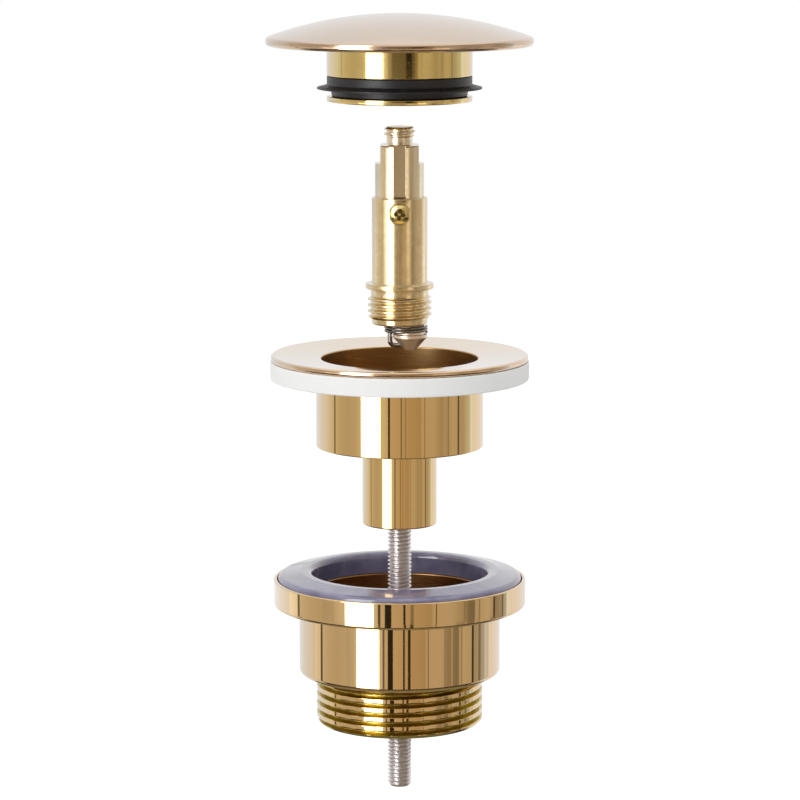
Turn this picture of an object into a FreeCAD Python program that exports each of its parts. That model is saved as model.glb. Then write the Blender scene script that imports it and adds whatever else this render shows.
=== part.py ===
import FreeCAD, Part
import math
import os

import Sketcher
from FreeCAD import Rotation, Vector

# Push-open basin waste, shown taken apart along its own axis.
# +Z is up, the axis of every round piece is the Z axis, and z = 0 is the lower end of the tail thread.
# All values are millimetres.

SIZES = [
    # Tail piece
    ("tail_thread_dia", 41.91),
    ("tail_thread_len", 12.6),
    ("tail_chamfer", 0.9),
    ("tail_relief_depth", 1.455),
    ("tail_relief_len", 1.2),
    ("tail_wall", 1.25),
    ("cup_clearance", 1.0),
    ("cup_wall", 3.4),
    ("cup_len", 17.4),
    ("cup_edge", 1.2),
    ("cup_floor_thick", 2.4),
    ("seat_dia", 63.4),
    ("seat_wall", 0.9),
    ("seat_thick", 6.7),
    ("seat_recess", 3.4),
    ("seat_edge", 0.6),
    ("bridge_rise", 2.0),
    ("bridge_thick", 6.0),
    ("bridge_arm", 3.0),
    ("bridge_boss_dia", 12.0),
    # Lower seal
    ("lower_seal_fit", 0.15),
    ("lower_seal_thick", 5.4),
    ("lower_seal_side", 4.3),
    ("lower_seal_land", 1.4),
    ("lower_seal_round", 1.5),
    # Clamping rod
    ("rod_dia", 6.0),
    ("rod_len", 73.3),
    ("rod_grip", 5.6),
    ("rod_chamfer", 0.7),
    ("thread_fit", 0.05),
    # Upper flange with its tube and sleeve
    ("flange_rest", 50.6),
    ("sleeve_dia", 18.65),
    ("sleeve_len", 21.7),
    ("sleeve_floor", 6.0),
    ("sleeve_bore_dia", 14.6),
    ("socket_depth", 9.0),
    ("tube_rise", 19.8),
    ("tube_len", 21.6),
    ("tube_dia", 41.8),
    ("tube_wall", 1.35),
    ("flange_dia", 64.3),
    ("flange_edge", 1.7),
    ("flange_dish", 1.1),
    ("bore_round", 0.7),
    ("rib_thick", 3.0),
    ("rib_step", 3.1),
    # White gasket
    ("gasket_overhang", 0.15),
    ("gasket_thick", 4.6),
    ("gasket_fit", 0.2),
    # Cartridge
    ("cartridge_rest", 110.1),
    ("collar_dia", 17.0),
    ("collar_thick", 1.4),
    ("barrel_dia", 13.9),
    ("barrel_rise", 22.8),
    ("barrel_drop", 8.9),
    ("socket_thread_dia", 16.0),
    ("socket_thread_len", 5.5),
    ("socket_thread_chamfer", 0.5),
    ("socket_relief_dia", 14.4),
    ("socket_relief_len", 1.9),
    # Guide screw
    ("guide_rise", 19.1),
    ("guide_shank_dia", 2.9),
    ("guide_shank_len", 2.3),
    ("guide_head_dia", 5.1),
    ("guide_head_side", 0.9),
    ("guide_head_crown", 0.7),
    ("guide_seat", 6.5),
    ("guide_seat_fit", 0.2),
    # Plunger
    ("plunger_dia", 12.1),
    ("plunger_out", 12.9),
    ("plunger_body_len", 21.8),
    ("slide_fit", 0.05),
    ("stem_dia", 8.6),
    ("stem_len", 12.0),
    ("stud_relief_dia", 6.4),
    ("stud_relief_len", 2.0),
    ("stud_dia", 7.7),
    ("stud_thread_len", 2.5),
    ("stud_chamfer", 0.4),
    ("wrench_flats", 9.5),
    ("wrench_flat_len", 4.5),
    ("slot_depth", 2.2),
    ("slot_fit", 0.1),
    # Tail block with its cone
    ("cone_tip_dia", 3.0),
    ("cone_len", 3.1),
    ("stub_dia", 8.5),
    ("stub_shoulder_len", 0.8),
    ("stub_neck_dia", 7.1),
    ("stub_neck_len", 2.6),
    ("stub_offset", 2.6),
    ("plug_disc_thick", 2.0),
    ("plug_disc_fit", 0.02),
    ("pivot_rise", 1.0),
    # Latch wire, its ring and the heart groove
    ("latch_wire_dia", 1.2),
    ("latch_wire_reach", 2.4),
    ("latch_wire_bend", 1.2),
    ("latch_hook_rise", 17.3),
    ("latch_hook_in", 0.9),
    ("latch_gap", 0.25),
    ("latch_throw", 2.0),
    ("push_travel", 8.0),
    ("groove_depth", 0.85),
    ("groove_fit", 0.3),
    ("ring_wire_dia", 0.7),
    ("ring_inner_dia", 9.5),
    ("ring_offset", 1.6),
    ("ring_pitch", 0.75),
    ("ring_turns", 2),
    ("ring_rise", 4.35),
    # Return spring
    ("spring_wire_dia", 0.9),
    ("spring_mean_dia", 10.3),
    ("spring_turns", 7),
    ("spring_fit", 0.05),
    # Plug body, plug seal and cap
    ("cap_rest", 156.6),
    ("neck_clearance", 1.55),
    ("neck_lip", 1.3),
    ("neck_wall", 1.3),
    ("groove_len", 5.0),
    ("neck_rise", 7.3),
    ("seal_groove_depth", 1.7),
    ("hub_rise", 14.1),
    ("plug_seal_wall", 1.65),
    ("plug_seal_foot", 0.8),
    ("plug_seal_fit", 0.05),
    ("plug_lip_reach", 2.45),
    ("plug_lip_thick", 0.8),
    ("plug_lip_rise", 2.3),
    ("plug_lip_drop", 0.6),
    ("cap_dia", 66.1),
    ("cap_sphere", 95.5),
    ("cap_side", 2.0),
    ("cap_wall", 1.8),
    ("cap_rim", 2.0),
    ("cap_rim_round", 0.9),
    ("cap_joint_fit", 0.05),
]

# Heights and radii that follow from the sizes above
SEAT_TOP = "(dims.tail_thread_len + dims.cup_len + dims.seat_thick)"
SEAL_FLOOR = f"({SEAT_TOP} - dims.seat_recess)"
CUP_FLOOR_TOP = "(dims.tail_thread_len + dims.cup_floor_thick)"
TAIL_RELIEF = "(dims.tail_thread_dia / 2 - dims.tail_relief_depth)"
TAIL_BORE = f"({TAIL_RELIEF} - dims.tail_wall)"
CUP_BORE = "(dims.tube_dia / 2 + dims.cup_clearance)"
TUBE_BORE = "(dims.tube_dia / 2 - dims.tube_wall)"
NECK = f"({TUBE_BORE} - dims.neck_clearance)"
SEAL_GROOVE = f"({NECK} - dims.seal_groove_depth)"
NECK_BORE = f"({SEAL_GROOVE} - dims.neck_wall)"
ROD_HOLE = "(dims.rod_dia / 2 + dims.thread_fit)"
SOCKET = "(dims.socket_thread_dia / 2 + dims.thread_fit)"
TUBE_TOP = "(dims.tube_rise + dims.tube_len)"
FLANGE_TOP = f"({TUBE_TOP} + dims.flange_edge)"
BARREL_FOOT = "(dims.cartridge_rest - dims.barrel_drop)"
BARREL_LEN = "(dims.barrel_drop + dims.barrel_rise)"
BARREL_BORE = "(dims.plunger_dia / 2 + dims.slide_fit)"
PLUNGER_SHOULDER = "(dims.stem_len + dims.plunger_body_len)"
PLUNGER_FOOT = f"(dims.cartridge_rest + dims.barrel_rise + dims.plunger_out - {PLUNGER_SHOULDER})"
STUB_FOOT = "(dims.cone_len + dims.stub_shoulder_len + dims.stub_neck_len)"
CONE_TIP = f"({BARREL_FOOT} - {STUB_FOOT})"
PIVOT = f"({CONE_TIP} + dims.pivot_rise)"
STEM_FLAT = "(dims.latch_wire_reach - dims.latch_wire_dia / 2 - dims.latch_gap)"
HOOK_IN_STEM = f"({PIVOT} + dims.latch_hook_rise - {PLUNGER_FOOT})"
GUIDE_IN_PLUNGER = f"(dims.cartridge_rest + dims.guide_rise - {PLUNGER_FOOT})"
BLOCK_TOP = f"({BARREL_FOOT} + dims.plug_disc_thick)"
SPRING_SPACE = f"({PLUNGER_FOOT} + dims.stem_len - {BLOCK_TOP})"
STUD_HOLE = "(dims.stud_dia / 2 + dims.thread_fit)"
CAP_INNER_SPHERE = "(dims.cap_sphere - dims.cap_wall)"
CAP_HEIGHT = "(dims.cap_side + dims.cap_sphere - sqrt(dims.cap_sphere^2 - (dims.cap_dia / 2)^2))"
CAP_CENTRE = f"({CAP_HEIGHT} - dims.cap_sphere)"
CAP_UNDERSIDE = "(dims.neck_lip + dims.groove_len + dims.neck_rise)"

doc = FreeCAD.newDocument("BasinWaste")


def make_sheet():
    """The sheet of driving sizes, one named cell each."""
    made = doc.addObject("Spreadsheet::Sheet", "dims")
    for row, (alias, size) in enumerate(SIZES, start=1):
        made.set(f"A{row}", alias)
        made.set(f"B{row}", str(size))
        made.setAlias(f"B{row}", alias)
    doc.recompute()
    return made


sheet = make_sheet()


def value(expression):
    return float(sheet.evalExpression(expression))


def new_body(label, across="0", depth="0", up="0", turn=None):
    """An empty body, placed by expressions."""
    body = doc.addObject("PartDesign::Body", label)
    body.Label = label
    if turn:
        body.Placement = FreeCAD.Placement(Vector(), turn)
    for axis, expression in (("x", across), ("y", depth), ("z", up)):
        body.setExpression(f"Placement.Base.{axis}", expression)
    return body


def new_sketch(body, name, plane, lift=None):
    """A sketch on one of the body's own planes, lifted along the plane's normal."""
    sketch = body.newObject("Sketcher::SketchObject", f"{body.Label}_{name}")
    support = [f for f in body.Origin.OriginFeatures if f.Role == f"{plane}_Plane"][0]
    sketch.AttachmentSupport = (support, [""])
    sketch.MapMode = "FlatFace"
    if lift:
        sketch.setExpression("AttachmentOffset.Base.z", lift)
    return sketch


def pin_point(sketch, geometry, end, across, up):
    """Tie one end of a line or arc, or a circle's centre, to its place."""
    for kind, axis, expression in (("DistanceX", -2, across), ("DistanceY", -1, up)):
        if expression == "0":
            sketch.addConstraint(Sketcher.Constraint("PointOnObject", geometry, end, axis))
        else:
            place = value(expression)
            number = sketch.addConstraint(Sketcher.Constraint(kind, -1, 1, geometry, end, place))
            sketch.setExpression(f"Constraints[{number}]", expression)


def arc_between(start, end, radius, side):
    """The short arc of this radius, with its centre on the given side of the way from start to end."""
    chord = end - start
    middle = (start + end) / 2
    rise = math.sqrt(radius**2 - (chord.Length / 2) ** 2)
    centre = middle + Vector(-chord.y, chord.x, 0).normalize() * rise * side
    crest = centre + (middle - centre).normalize() * radius
    return Part.Arc(start, crest, end) if side > 0 else Part.Arc(end, crest, start)


def outline(sketch, corners, closed=True):
    """Lines and arcs through corners: (across, up) or (across, up, radius of the arc that leads there, side).

    Side is 1 for an arc that turns left, and -1 for one that turns right, which is stored from its far end."""
    first = sketch.GeometryCount
    points = [Vector(value(c[0]), value(c[1]), 0) for c in corners]
    count = len(corners) if closed else len(corners) - 1
    starts = []
    ends = []
    for i in range(count):
        after = (i + 1) % len(corners)
        corner = corners[after]
        if len(corner) > 2:
            piece = arc_between(points[i], points[after], value(corner[2]), corner[3])
            backwards = corner[3] < 0
        else:
            piece = Part.LineSegment(points[i], points[after])
            backwards = False
        sketch.addGeometry(piece, False)
        starts.append(2 if backwards else 1)
        ends.append(1 if backwards else 2)
    for i in range(count if closed else count - 1):
        after = (i + 1) % count
        joint = Sketcher.Constraint("Coincident", first + i, ends[i], first + after, starts[after])
        sketch.addConstraint(joint)
    for i in range(count):
        pin_point(sketch, first + i, starts[i], corners[i][0], corners[i][1])
        corner = corners[(i + 1) % len(corners)]
        if len(corner) > 2:
            number = sketch.addConstraint(Sketcher.Constraint("Radius", first + i, value(corner[2])))
            sketch.setExpression(f"Constraints[{number}]", corner[2])
    if not closed:
        pin_point(sketch, first + count - 1, ends[-1], corners[-1][0], corners[-1][1])


def circle(sketch, across, up, radius):
    where = Vector(value(across), value(up), 0)
    number = sketch.addGeometry(Part.Circle(where, Vector(0, 0, 1), value(radius)), False)
    pin_point(sketch, number, 3, across, up)
    size = sketch.addConstraint(Sketcher.Constraint("Radius", number, value(radius)))
    sketch.setExpression(f"Constraints[{size}]", radius)


def rectangle(sketch, left, low, right, high):
    outline(sketch, [(left, low), (right, low), (right, high), (left, high)])


def turned(body, name, corners):
    """A solid turned about the body's Z axis from a half section of (radius, height) corners."""
    sketch = new_sketch(body, f"{name}_section", "XZ")
    outline(sketch, corners)
    feature = body.newObject("PartDesign::Revolution", f"{body.Label}_{name}")
    feature.Profile = sketch
    feature.ReferenceAxis = (sketch, ["V_Axis"])
    feature.Angle = 360
    doc.recompute()
    return feature


def padded(body, name, sketch, length, both_ways=False):
    feature = body.newObject("PartDesign::Pad", f"{body.Label}_{name}")
    feature.Profile = sketch
    feature.setExpression("Length", length)
    feature.SideType = "Symmetric" if both_ways else "One side"
    doc.recompute()
    return feature


def pocketed(body, name, sketch, length, along_normal=False, both_ways=False):
    feature = body.newObject("PartDesign::Pocket", f"{body.Label}_{name}")
    feature.Profile = sketch
    feature.setExpression("Length", length)
    feature.Reversed = along_normal
    feature.SideType = "Symmetric" if both_ways else "One side"
    before = body.Shape.Volume
    doc.recompute()
    if body.Shape.Volume >= before:
        raise RuntimeError(f"{feature.Label} cuts nothing")
    return feature


def round_about_axis(body, name, feature, copies):
    """Copies of one feature, evenly spaced about the body's Z axis."""
    pattern = body.newObject("PartDesign::PolarPattern", f"{body.Label}_{name}")
    pattern.Originals = [feature]
    pattern.Axis = ([f for f in body.Origin.OriginFeatures if f.Role == "Z_Axis"][0], [""])
    pattern.Angle = 360
    pattern.Occurrences = copies
    body.Tip = pattern
    doc.recompute()


def coil(body, name, mean_dia, wire_dia, pitch, turns, low):
    """A helical wire with six flat sides about the body's Z axis, its first section at height low."""
    sketch = new_sketch(body, f"{name}_section", "XZ")
    middle = f"{mean_dia} / 2"
    side = f"{wire_dia} * sqrt(3) / 4"
    outline(
        sketch,
        [
            (f"{middle} + {wire_dia} / 2", low),
            (f"{middle} + {wire_dia} / 4", f"{low} + {side}"),
            (f"{middle} - {wire_dia} / 4", f"{low} + {side}"),
            (f"{middle} - {wire_dia} / 2", low),
            (f"{middle} - {wire_dia} / 4", f"{low} - {side}"),
            (f"{middle} + {wire_dia} / 4", f"{low} - {side}"),
        ],
    )
    feature = body.newObject("PartDesign::AdditiveHelix", f"{body.Label}_{name}")
    feature.Profile = sketch
    feature.ReferenceAxis = (sketch, ["V_Axis"])
    feature.Mode = "pitch-turns-angle"
    feature.setExpression("Pitch", pitch)
    feature.setExpression("Turns", turns)
    doc.recompute()


def make_lower_body():
    """The threaded tail, its cup, the seat flange and the four-armed bridge that the rod screws into."""
    body = new_body("lower_body")
    thread = "dims.tail_thread_dia / 2"
    relief = TAIL_RELIEF
    cup = f"({CUP_BORE} + dims.cup_wall)"
    seat = "dims.seat_dia / 2"
    seat_foot = "(dims.tail_thread_len + dims.cup_len)"
    recess = "(dims.seat_dia / 2 - dims.seat_wall)"
    thread_end = "(dims.tail_thread_len - dims.tail_relief_len)"
    turned(
        body,
        "shell",
        [
            (TAIL_BORE, "0"),
            (f"{thread} - dims.tail_chamfer", "0"),
            (thread, "dims.tail_chamfer"),
            (thread, f"{thread_end} - dims.tail_chamfer / 2"),
            (relief, thread_end),
            (relief, "dims.tail_thread_len"),
            (f"{cup} - dims.cup_edge", "dims.tail_thread_len"),
            (cup, "dims.tail_thread_len + dims.cup_edge", "dims.cup_edge", 1),
            (cup, f"{seat_foot} - dims.cup_edge"),
            (f"{cup} + dims.cup_edge", seat_foot, "dims.cup_edge", -1),
            (f"{seat} - dims.seat_edge", seat_foot),
            (seat, f"{seat_foot} + dims.seat_edge", "dims.seat_edge", 1),
            (seat, SEAT_TOP),
            (recess, SEAT_TOP),
            (recess, SEAL_FLOOR),
            (CUP_BORE, SEAL_FLOOR),
            (CUP_BORE, CUP_FLOOR_TOP),
            (TAIL_BORE, CUP_FLOOR_TOP),
        ],
    )
    arm = new_sketch(body, "arm_section", "XZ")
    rectangle(
        arm,
        f"({ROD_HOLE} + dims.bridge_boss_dia / 2) / 2",
        "dims.bridge_rise",
        f"({TAIL_BORE} + {TAIL_RELIEF}) / 2",
        "dims.bridge_rise + dims.bridge_thick",
    )
    one = padded(body, "arm", arm, "dims.bridge_arm", both_ways=True)
    round_about_axis(body, "arms", one, 4)
    turned(
        body,
        "boss",
        [
            (ROD_HOLE, "dims.bridge_rise"),
            ("dims.bridge_boss_dia / 2", "dims.bridge_rise"),
            ("dims.bridge_boss_dia / 2", "dims.bridge_rise + dims.bridge_thick"),
            (ROD_HOLE, "dims.bridge_rise + dims.bridge_thick"),
        ],
    )
    return body


def make_lower_seal():
    """The soft ring that lies in the seat flange, with a flat land on its crown."""
    body = new_body("lower_seal", up=SEAL_FLOOR)
    bore = CUP_BORE
    outer = "(dims.seat_dia / 2 - dims.seat_wall - dims.lower_seal_fit)"
    roundness = "dims.lower_seal_round"
    turned(
        body,
        "ring",
        [
            (bore, "0"),
            (outer, "0"),
            (outer, f"dims.lower_seal_side - {roundness}"),
            (f"{outer} - {roundness}", "dims.lower_seal_side", roundness, 1),
            (f"{bore} + {roundness} + dims.lower_seal_land", "dims.lower_seal_thick"),
            (f"{bore} + {roundness}", "dims.lower_seal_thick"),
            (bore, f"dims.lower_seal_thick - {roundness}", roundness, 1),
        ],
    )
    return body


def make_clamp_rod():
    """The long threaded rod that draws the flange and the tail together."""
    body = new_body("clamp_rod", up="dims.flange_rest + dims.rod_grip - dims.rod_len")
    turned(
        body,
        "shaft",
        [
            ("0", "0"),
            ("dims.rod_dia / 2 - dims.rod_chamfer", "0"),
            ("dims.rod_dia / 2", "dims.rod_chamfer"),
            ("dims.rod_dia / 2", "dims.rod_len - dims.rod_chamfer"),
            ("dims.rod_dia / 2 - dims.rod_chamfer", "dims.rod_len"),
            ("0", "dims.rod_len"),
        ],
    )
    return body


def make_upper_flange():
    """The dished flange, its tube, and the sleeve that four ribs carry in the tube."""
    body = new_body("upper_flange", up="dims.flange_rest")
    tube = "dims.tube_dia / 2"
    bore = TUBE_BORE
    rim = "dims.flange_dia / 2"
    edge = "dims.flange_edge / 2"
    turned(
        body,
        "tube",
        [
            (bore, "dims.tube_rise"),
            (tube, "dims.tube_rise"),
            (tube, TUBE_TOP),
            (f"{rim} - {edge}", TUBE_TOP),
            (rim, f"{TUBE_TOP} + {edge}", edge, 1),
            (f"{rim} - {edge}", FLANGE_TOP, edge, 1),
            (f"{bore} + dims.bore_round", f"{FLANGE_TOP} - dims.flange_dish"),
            (bore, f"{FLANGE_TOP} - dims.flange_dish - dims.bore_round", "dims.bore_round", 1),
        ],
    )
    rib = new_sketch(body, "rib_section", "XZ")
    rib_foot = f"(dims.sleeve_dia / 2 + {SOCKET}) / 2"
    rib_end = f"(dims.tube_dia / 2 + {TUBE_BORE}) / 2"
    outline(
        rib,
        [
            (rib_foot, "dims.tube_rise"),
            (rib_end, "dims.tube_rise"),
            (rib_end, "dims.sleeve_len + dims.rib_step"),
            (rib_foot, "dims.sleeve_len"),
        ],
    )
    one = padded(body, "rib", rib, "dims.rib_thick", both_ways=True)
    round_about_axis(body, "ribs", one, 4)
    turned(
        body,
        "sleeve",
        [
            (ROD_HOLE, "0"),
            ("dims.sleeve_dia / 2", "0"),
            ("dims.sleeve_dia / 2", "dims.sleeve_len"),
            (SOCKET, "dims.sleeve_len"),
            (SOCKET, "dims.sleeve_len - dims.socket_depth"),
            ("dims.sleeve_bore_dia / 2", "dims.sleeve_len - dims.socket_depth"),
            ("dims.sleeve_bore_dia / 2", "dims.sleeve_floor"),
            (ROD_HOLE, "dims.sleeve_floor"),
        ],
    )
    return body


def make_flange_gasket():
    """The white foam ring under the flange."""
    body = new_body("flange_gasket", up=f"dims.flange_rest + {TUBE_TOP} - dims.gasket_thick")
    hole = "dims.tube_dia / 2 + dims.gasket_fit"
    rim = "dims.flange_dia / 2 + dims.gasket_overhang"
    turned(
        body,
        "ring",
        [
            (hole, "0"),
            (rim, "0"),
            (rim, "dims.gasket_thick"),
            (hole, "dims.gasket_thick"),
        ],
    )
    return body


def make_barrel():
    """The cartridge's barrel, with its collar, its thread and the seat for the guide screw."""
    body = new_body("barrel", up=BARREL_FOOT)
    outer = "dims.barrel_dia / 2"
    thread = "dims.socket_thread_dia / 2"
    relief = "dims.socket_relief_dia / 2"
    slope = "dims.socket_thread_chamfer"
    thread_top = "(dims.barrel_drop - dims.socket_relief_len)"
    thread_low = f"({thread_top} - dims.socket_thread_len)"
    turned(
        body,
        "tube",
        [
            (BARREL_BORE, "0"),
            (outer, "0"),
            (outer, thread_low),
            (f"{thread} - {slope}", thread_low),
            (thread, f"{thread_low} + {slope}"),
            (thread, f"{thread_top} - {slope}"),
            (f"{thread} - {slope}", thread_top),
            (relief, thread_top),
            (relief, "dims.barrel_drop"),
            ("dims.collar_dia / 2", "dims.barrel_drop"),
            ("dims.collar_dia / 2", "dims.barrel_drop + dims.collar_thick"),
            (outer, "dims.barrel_drop + dims.collar_thick"),
            (outer, BARREL_LEN),
            (BARREL_BORE, BARREL_LEN),
        ],
    )
    screw_height = "dims.barrel_drop + dims.guide_rise"
    seat = new_sketch(body, "screw_seat_outline", "XZ", lift="dims.guide_seat")
    circle(seat, "0", screw_height, "dims.guide_head_dia / 2 + dims.guide_seat_fit")
    pocketed(body, "screw_seat", seat, outer, along_normal=True)
    hole = new_sketch(body, "screw_hole_outline", "XZ")
    circle(hole, "0", screw_height, "dims.guide_shank_dia / 2 + dims.thread_fit")
    pocketed(body, "screw_hole", hole, outer, along_normal=True)
    return body


def make_guide_screw():
    """The small screw whose tip runs in the plunger's slot. Its own Z axis points out of the barrel."""
    turn = Rotation(Vector(1, 0, 0), 90)
    depth = "dims.guide_shank_len - dims.guide_seat"
    body = new_body("guide_screw", depth=depth, up="dims.cartridge_rest + dims.guide_rise", turn=turn)
    head_foot = "dims.guide_shank_len"
    head_side = "(dims.guide_shank_len + dims.guide_head_side)"
    crown = "((dims.guide_head_dia / 2)^2 / dims.guide_head_crown + dims.guide_head_crown) / 2"
    turned(
        body,
        "shape",
        [
            ("0", "0"),
            ("dims.guide_shank_dia / 2", "0"),
            ("dims.guide_shank_dia / 2", head_foot),
            ("dims.guide_head_dia / 2", head_foot),
            ("dims.guide_head_dia / 2", head_side),
            ("0", f"{head_side} + dims.guide_head_crown", crown, 1),
        ],
    )
    return body


def make_tail_block():
    """The plug in the barrel's foot, with the offset stub and cone that carry the latch wire."""
    body = new_body("tail_block", across="dims.stub_offset", up=CONE_TIP)
    shoulder = "(dims.cone_len + dims.stub_shoulder_len)"
    turned(
        body,
        "stub",
        [
            ("0", "0"),
            ("dims.cone_tip_dia / 2", "0"),
            ("dims.stub_dia / 2", "dims.cone_len"),
            ("dims.stub_dia / 2", shoulder),
            ("dims.stub_neck_dia / 2", shoulder),
            ("dims.stub_neck_dia / 2", STUB_FOOT),
            ("0", STUB_FOOT),
        ],
    )
    disc = new_sketch(body, "disc_outline", "XY", lift=STUB_FOOT)
    circle(disc, "-dims.stub_offset", "0", f"{BARREL_BORE} - dims.plug_disc_fit")
    padded(body, "disc", disc, "dims.plug_disc_thick")
    slot = new_sketch(body, "wire_slot_outline", "XY", lift=STUB_FOOT)
    middle = "(dims.stub_offset + dims.latch_wire_reach)"
    half_across = "(dims.latch_wire_dia / 2 + dims.latch_gap)"
    swing = f"dims.latch_throw * ({STUB_FOOT} + dims.plug_disc_thick - dims.pivot_rise) / dims.latch_hook_rise"
    half_long = f"({half_across} + {swing})"
    rectangle(slot, f"-{middle} - {half_across}", f"-{half_long}", f"-{middle} + {half_across}", half_long)
    pocketed(body, "wire_slot", slot, "dims.plug_disc_thick", along_normal=True)
    hole = new_sketch(body, "pivot_hole_outline", "YZ")
    circle(hole, "0", "dims.pivot_rise", "dims.latch_wire_dia / 2 + dims.slide_fit")
    pocketed(body, "pivot_hole", hole, "dims.stub_dia / 2")
    return body


def make_latch_wire():
    """The bent wire that hangs in the cone and hooks into the plunger's heart groove."""
    body = new_body("latch_wire", up=PIVOT)
    run = "-dims.latch_wire_reach"
    bend = "dims.latch_wire_bend"
    near = f"{run} + {bend}"
    start = "dims.stub_offset - dims.latch_wire_dia"
    path = new_sketch(body, "path", "XZ")
    outline(
        path,
        [
            (start, "0"),
            (near, "0"),
            (run, bend, bend, -1),
            (run, f"dims.latch_hook_rise - {bend}"),
            (near, "dims.latch_hook_rise", bend, -1),
            ("-dims.latch_hook_in", "dims.latch_hook_rise"),
        ],
        closed=False,
    )
    section = new_sketch(body, "section", "YZ", lift=start)
    circle(section, "0", "0", "dims.latch_wire_dia / 2")
    pipe = body.newObject("PartDesign::AdditivePipe", "latch_wire_bent")
    pipe.Profile = section
    pipe.Spine = path
    doc.recompute()
    return body


def make_latch_ring():
    """The close-wound spring ring round the stub's neck and the latch wire."""
    body = new_body("latch_ring", across="dims.ring_offset", up=f"{CONE_TIP} + dims.ring_rise")
    coil(
        body,
        "turns",
        "(dims.ring_inner_dia + dims.ring_wire_dia)",
        "dims.ring_wire_dia",
        "dims.ring_pitch",
        "dims.ring_turns",
        "0",
    )
    return body


def make_return_spring():
    """The spring between the tail block and the plunger's body."""
    body = new_body("return_spring", up=BLOCK_TOP)
    low = "dims.spring_wire_dia / 2 + dims.spring_fit"
    pitch = f"({SPRING_SPACE} - dims.spring_wire_dia - 2 * dims.spring_fit) / dims.spring_turns"
    coil(body, "turns", "dims.spring_mean_dia", "dims.spring_wire_dia", pitch, "dims.spring_turns", low)
    return body


def cut_heart_groove(body):
    """Two lanes round a small island, cut in the stem's flat, for the hook of the latch wire."""
    groove = new_sketch(body, "heart_outline", "YZ", lift=f"-{STEM_FLAT}")
    half = "(dims.latch_wire_dia / 2 + dims.groove_fit)"
    throw = "dims.latch_throw"
    low = f"({HOOK_IN_STEM} - {half})"
    high = f"({HOOK_IN_STEM} + dims.push_travel + {half})"
    outline(
        groove,
        [
            (f"-{half}", low),
            (half, low),
            (f"{throw} + {half}", f"{high} - 2 * {half}"),
            (f"{throw} + {half}", high),
            (f"{throw} - {half}", high),
            ("0", f"{high} - {half}"),
            (f"-{throw} + {half}", high),
            (f"-{throw} - {half}", high),
            (f"-{throw} - {half}", f"{high} - 2 * {half}"),
        ],
    )
    pocketed(body, "heart_groove", groove, "dims.groove_depth", along_normal=True)


def make_plunger():
    """The push rod: stem with a heart groove, slotted body, wrench flats and the stud for the cap."""
    body = new_body("plunger", up=PLUNGER_FOOT)
    stud_foot = f"({PLUNGER_SHOULDER} + dims.stud_relief_len)"
    stud_top = f"({stud_foot} + dims.stud_thread_len)"
    turned(
        body,
        "shape",
        [
            ("0", "0"),
            ("dims.stem_dia / 2", "0"),
            ("dims.stem_dia / 2", "dims.stem_len"),
            ("dims.plunger_dia / 2", "dims.stem_len"),
            ("dims.plunger_dia / 2", PLUNGER_SHOULDER),
            ("dims.stud_relief_dia / 2", PLUNGER_SHOULDER),
            ("dims.stud_relief_dia / 2", stud_foot),
            ("dims.stud_dia / 2", stud_foot),
            ("dims.stud_dia / 2", f"{stud_top} - dims.stud_chamfer"),
            ("dims.stud_dia / 2 - dims.stud_chamfer", stud_top),
            ("0", stud_top),
        ],
    )
    flats = new_sketch(body, "flats_outline", "XZ")
    flat_foot = f"{PLUNGER_SHOULDER} - dims.wrench_flat_len"
    rectangle(flats, "dims.wrench_flats / 2", flat_foot, "dims.plunger_dia", PLUNGER_SHOULDER)
    rectangle(flats, "-dims.plunger_dia", flat_foot, "-dims.wrench_flats / 2", PLUNGER_SHOULDER)
    pocketed(body, "wrench_flats", flats, "2 * dims.plunger_dia", both_ways=True)
    slot = new_sketch(body, "slot_outline", "XY", lift=PLUNGER_SHOULDER)
    half = "(dims.guide_shank_dia / 2 + dims.slot_fit)"
    rectangle(slot, f"-{half}", "-dims.plunger_dia", half, "dims.slot_depth - dims.plunger_dia / 2")
    slot_len = f"{PLUNGER_SHOULDER} - {GUIDE_IN_PLUNGER} + {half}"
    pocketed(body, "slot", slot, slot_len)
    flat = new_sketch(body, "stem_flat_outline", "XY")
    rectangle(flat, "-dims.plunger_dia", "-dims.plunger_dia", f"-{STEM_FLAT}", "dims.plunger_dia")
    pocketed(body, "stem_flat", flat, "dims.stem_len", along_normal=True)
    cut_heart_groove(body)
    return body


def make_plug_body():
    """The neck under the cap: seal groove, open cavity, and the tapped hub that sits on the plunger."""
    body = new_body("plug_body", up="dims.cap_rest")
    neck = NECK
    groove_top = "(dims.neck_lip + dims.groove_len)"
    sphere = f"({CAP_INNER_SPHERE} - dims.cap_joint_fit)"
    centre = f"({CAP_UNDERSIDE} + {CAP_CENTRE})"
    turned(
        body,
        "shape",
        [
            (NECK_BORE, "0"),
            (neck, "0"),
            (neck, "dims.neck_lip"),
            (SEAL_GROOVE, "dims.neck_lip"),
            (SEAL_GROOVE, groove_top),
            (neck, groove_top),
            (neck, f"{centre} + sqrt({sphere}^2 - {NECK}^2)"),
            (STUD_HOLE, f"{centre} + sqrt({sphere}^2 - {STUD_HOLE}^2)", sphere, 1),
            (STUD_HOLE, "dims.hub_rise"),
            (NECK_BORE, "dims.hub_rise"),
        ],
    )
    return body


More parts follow.
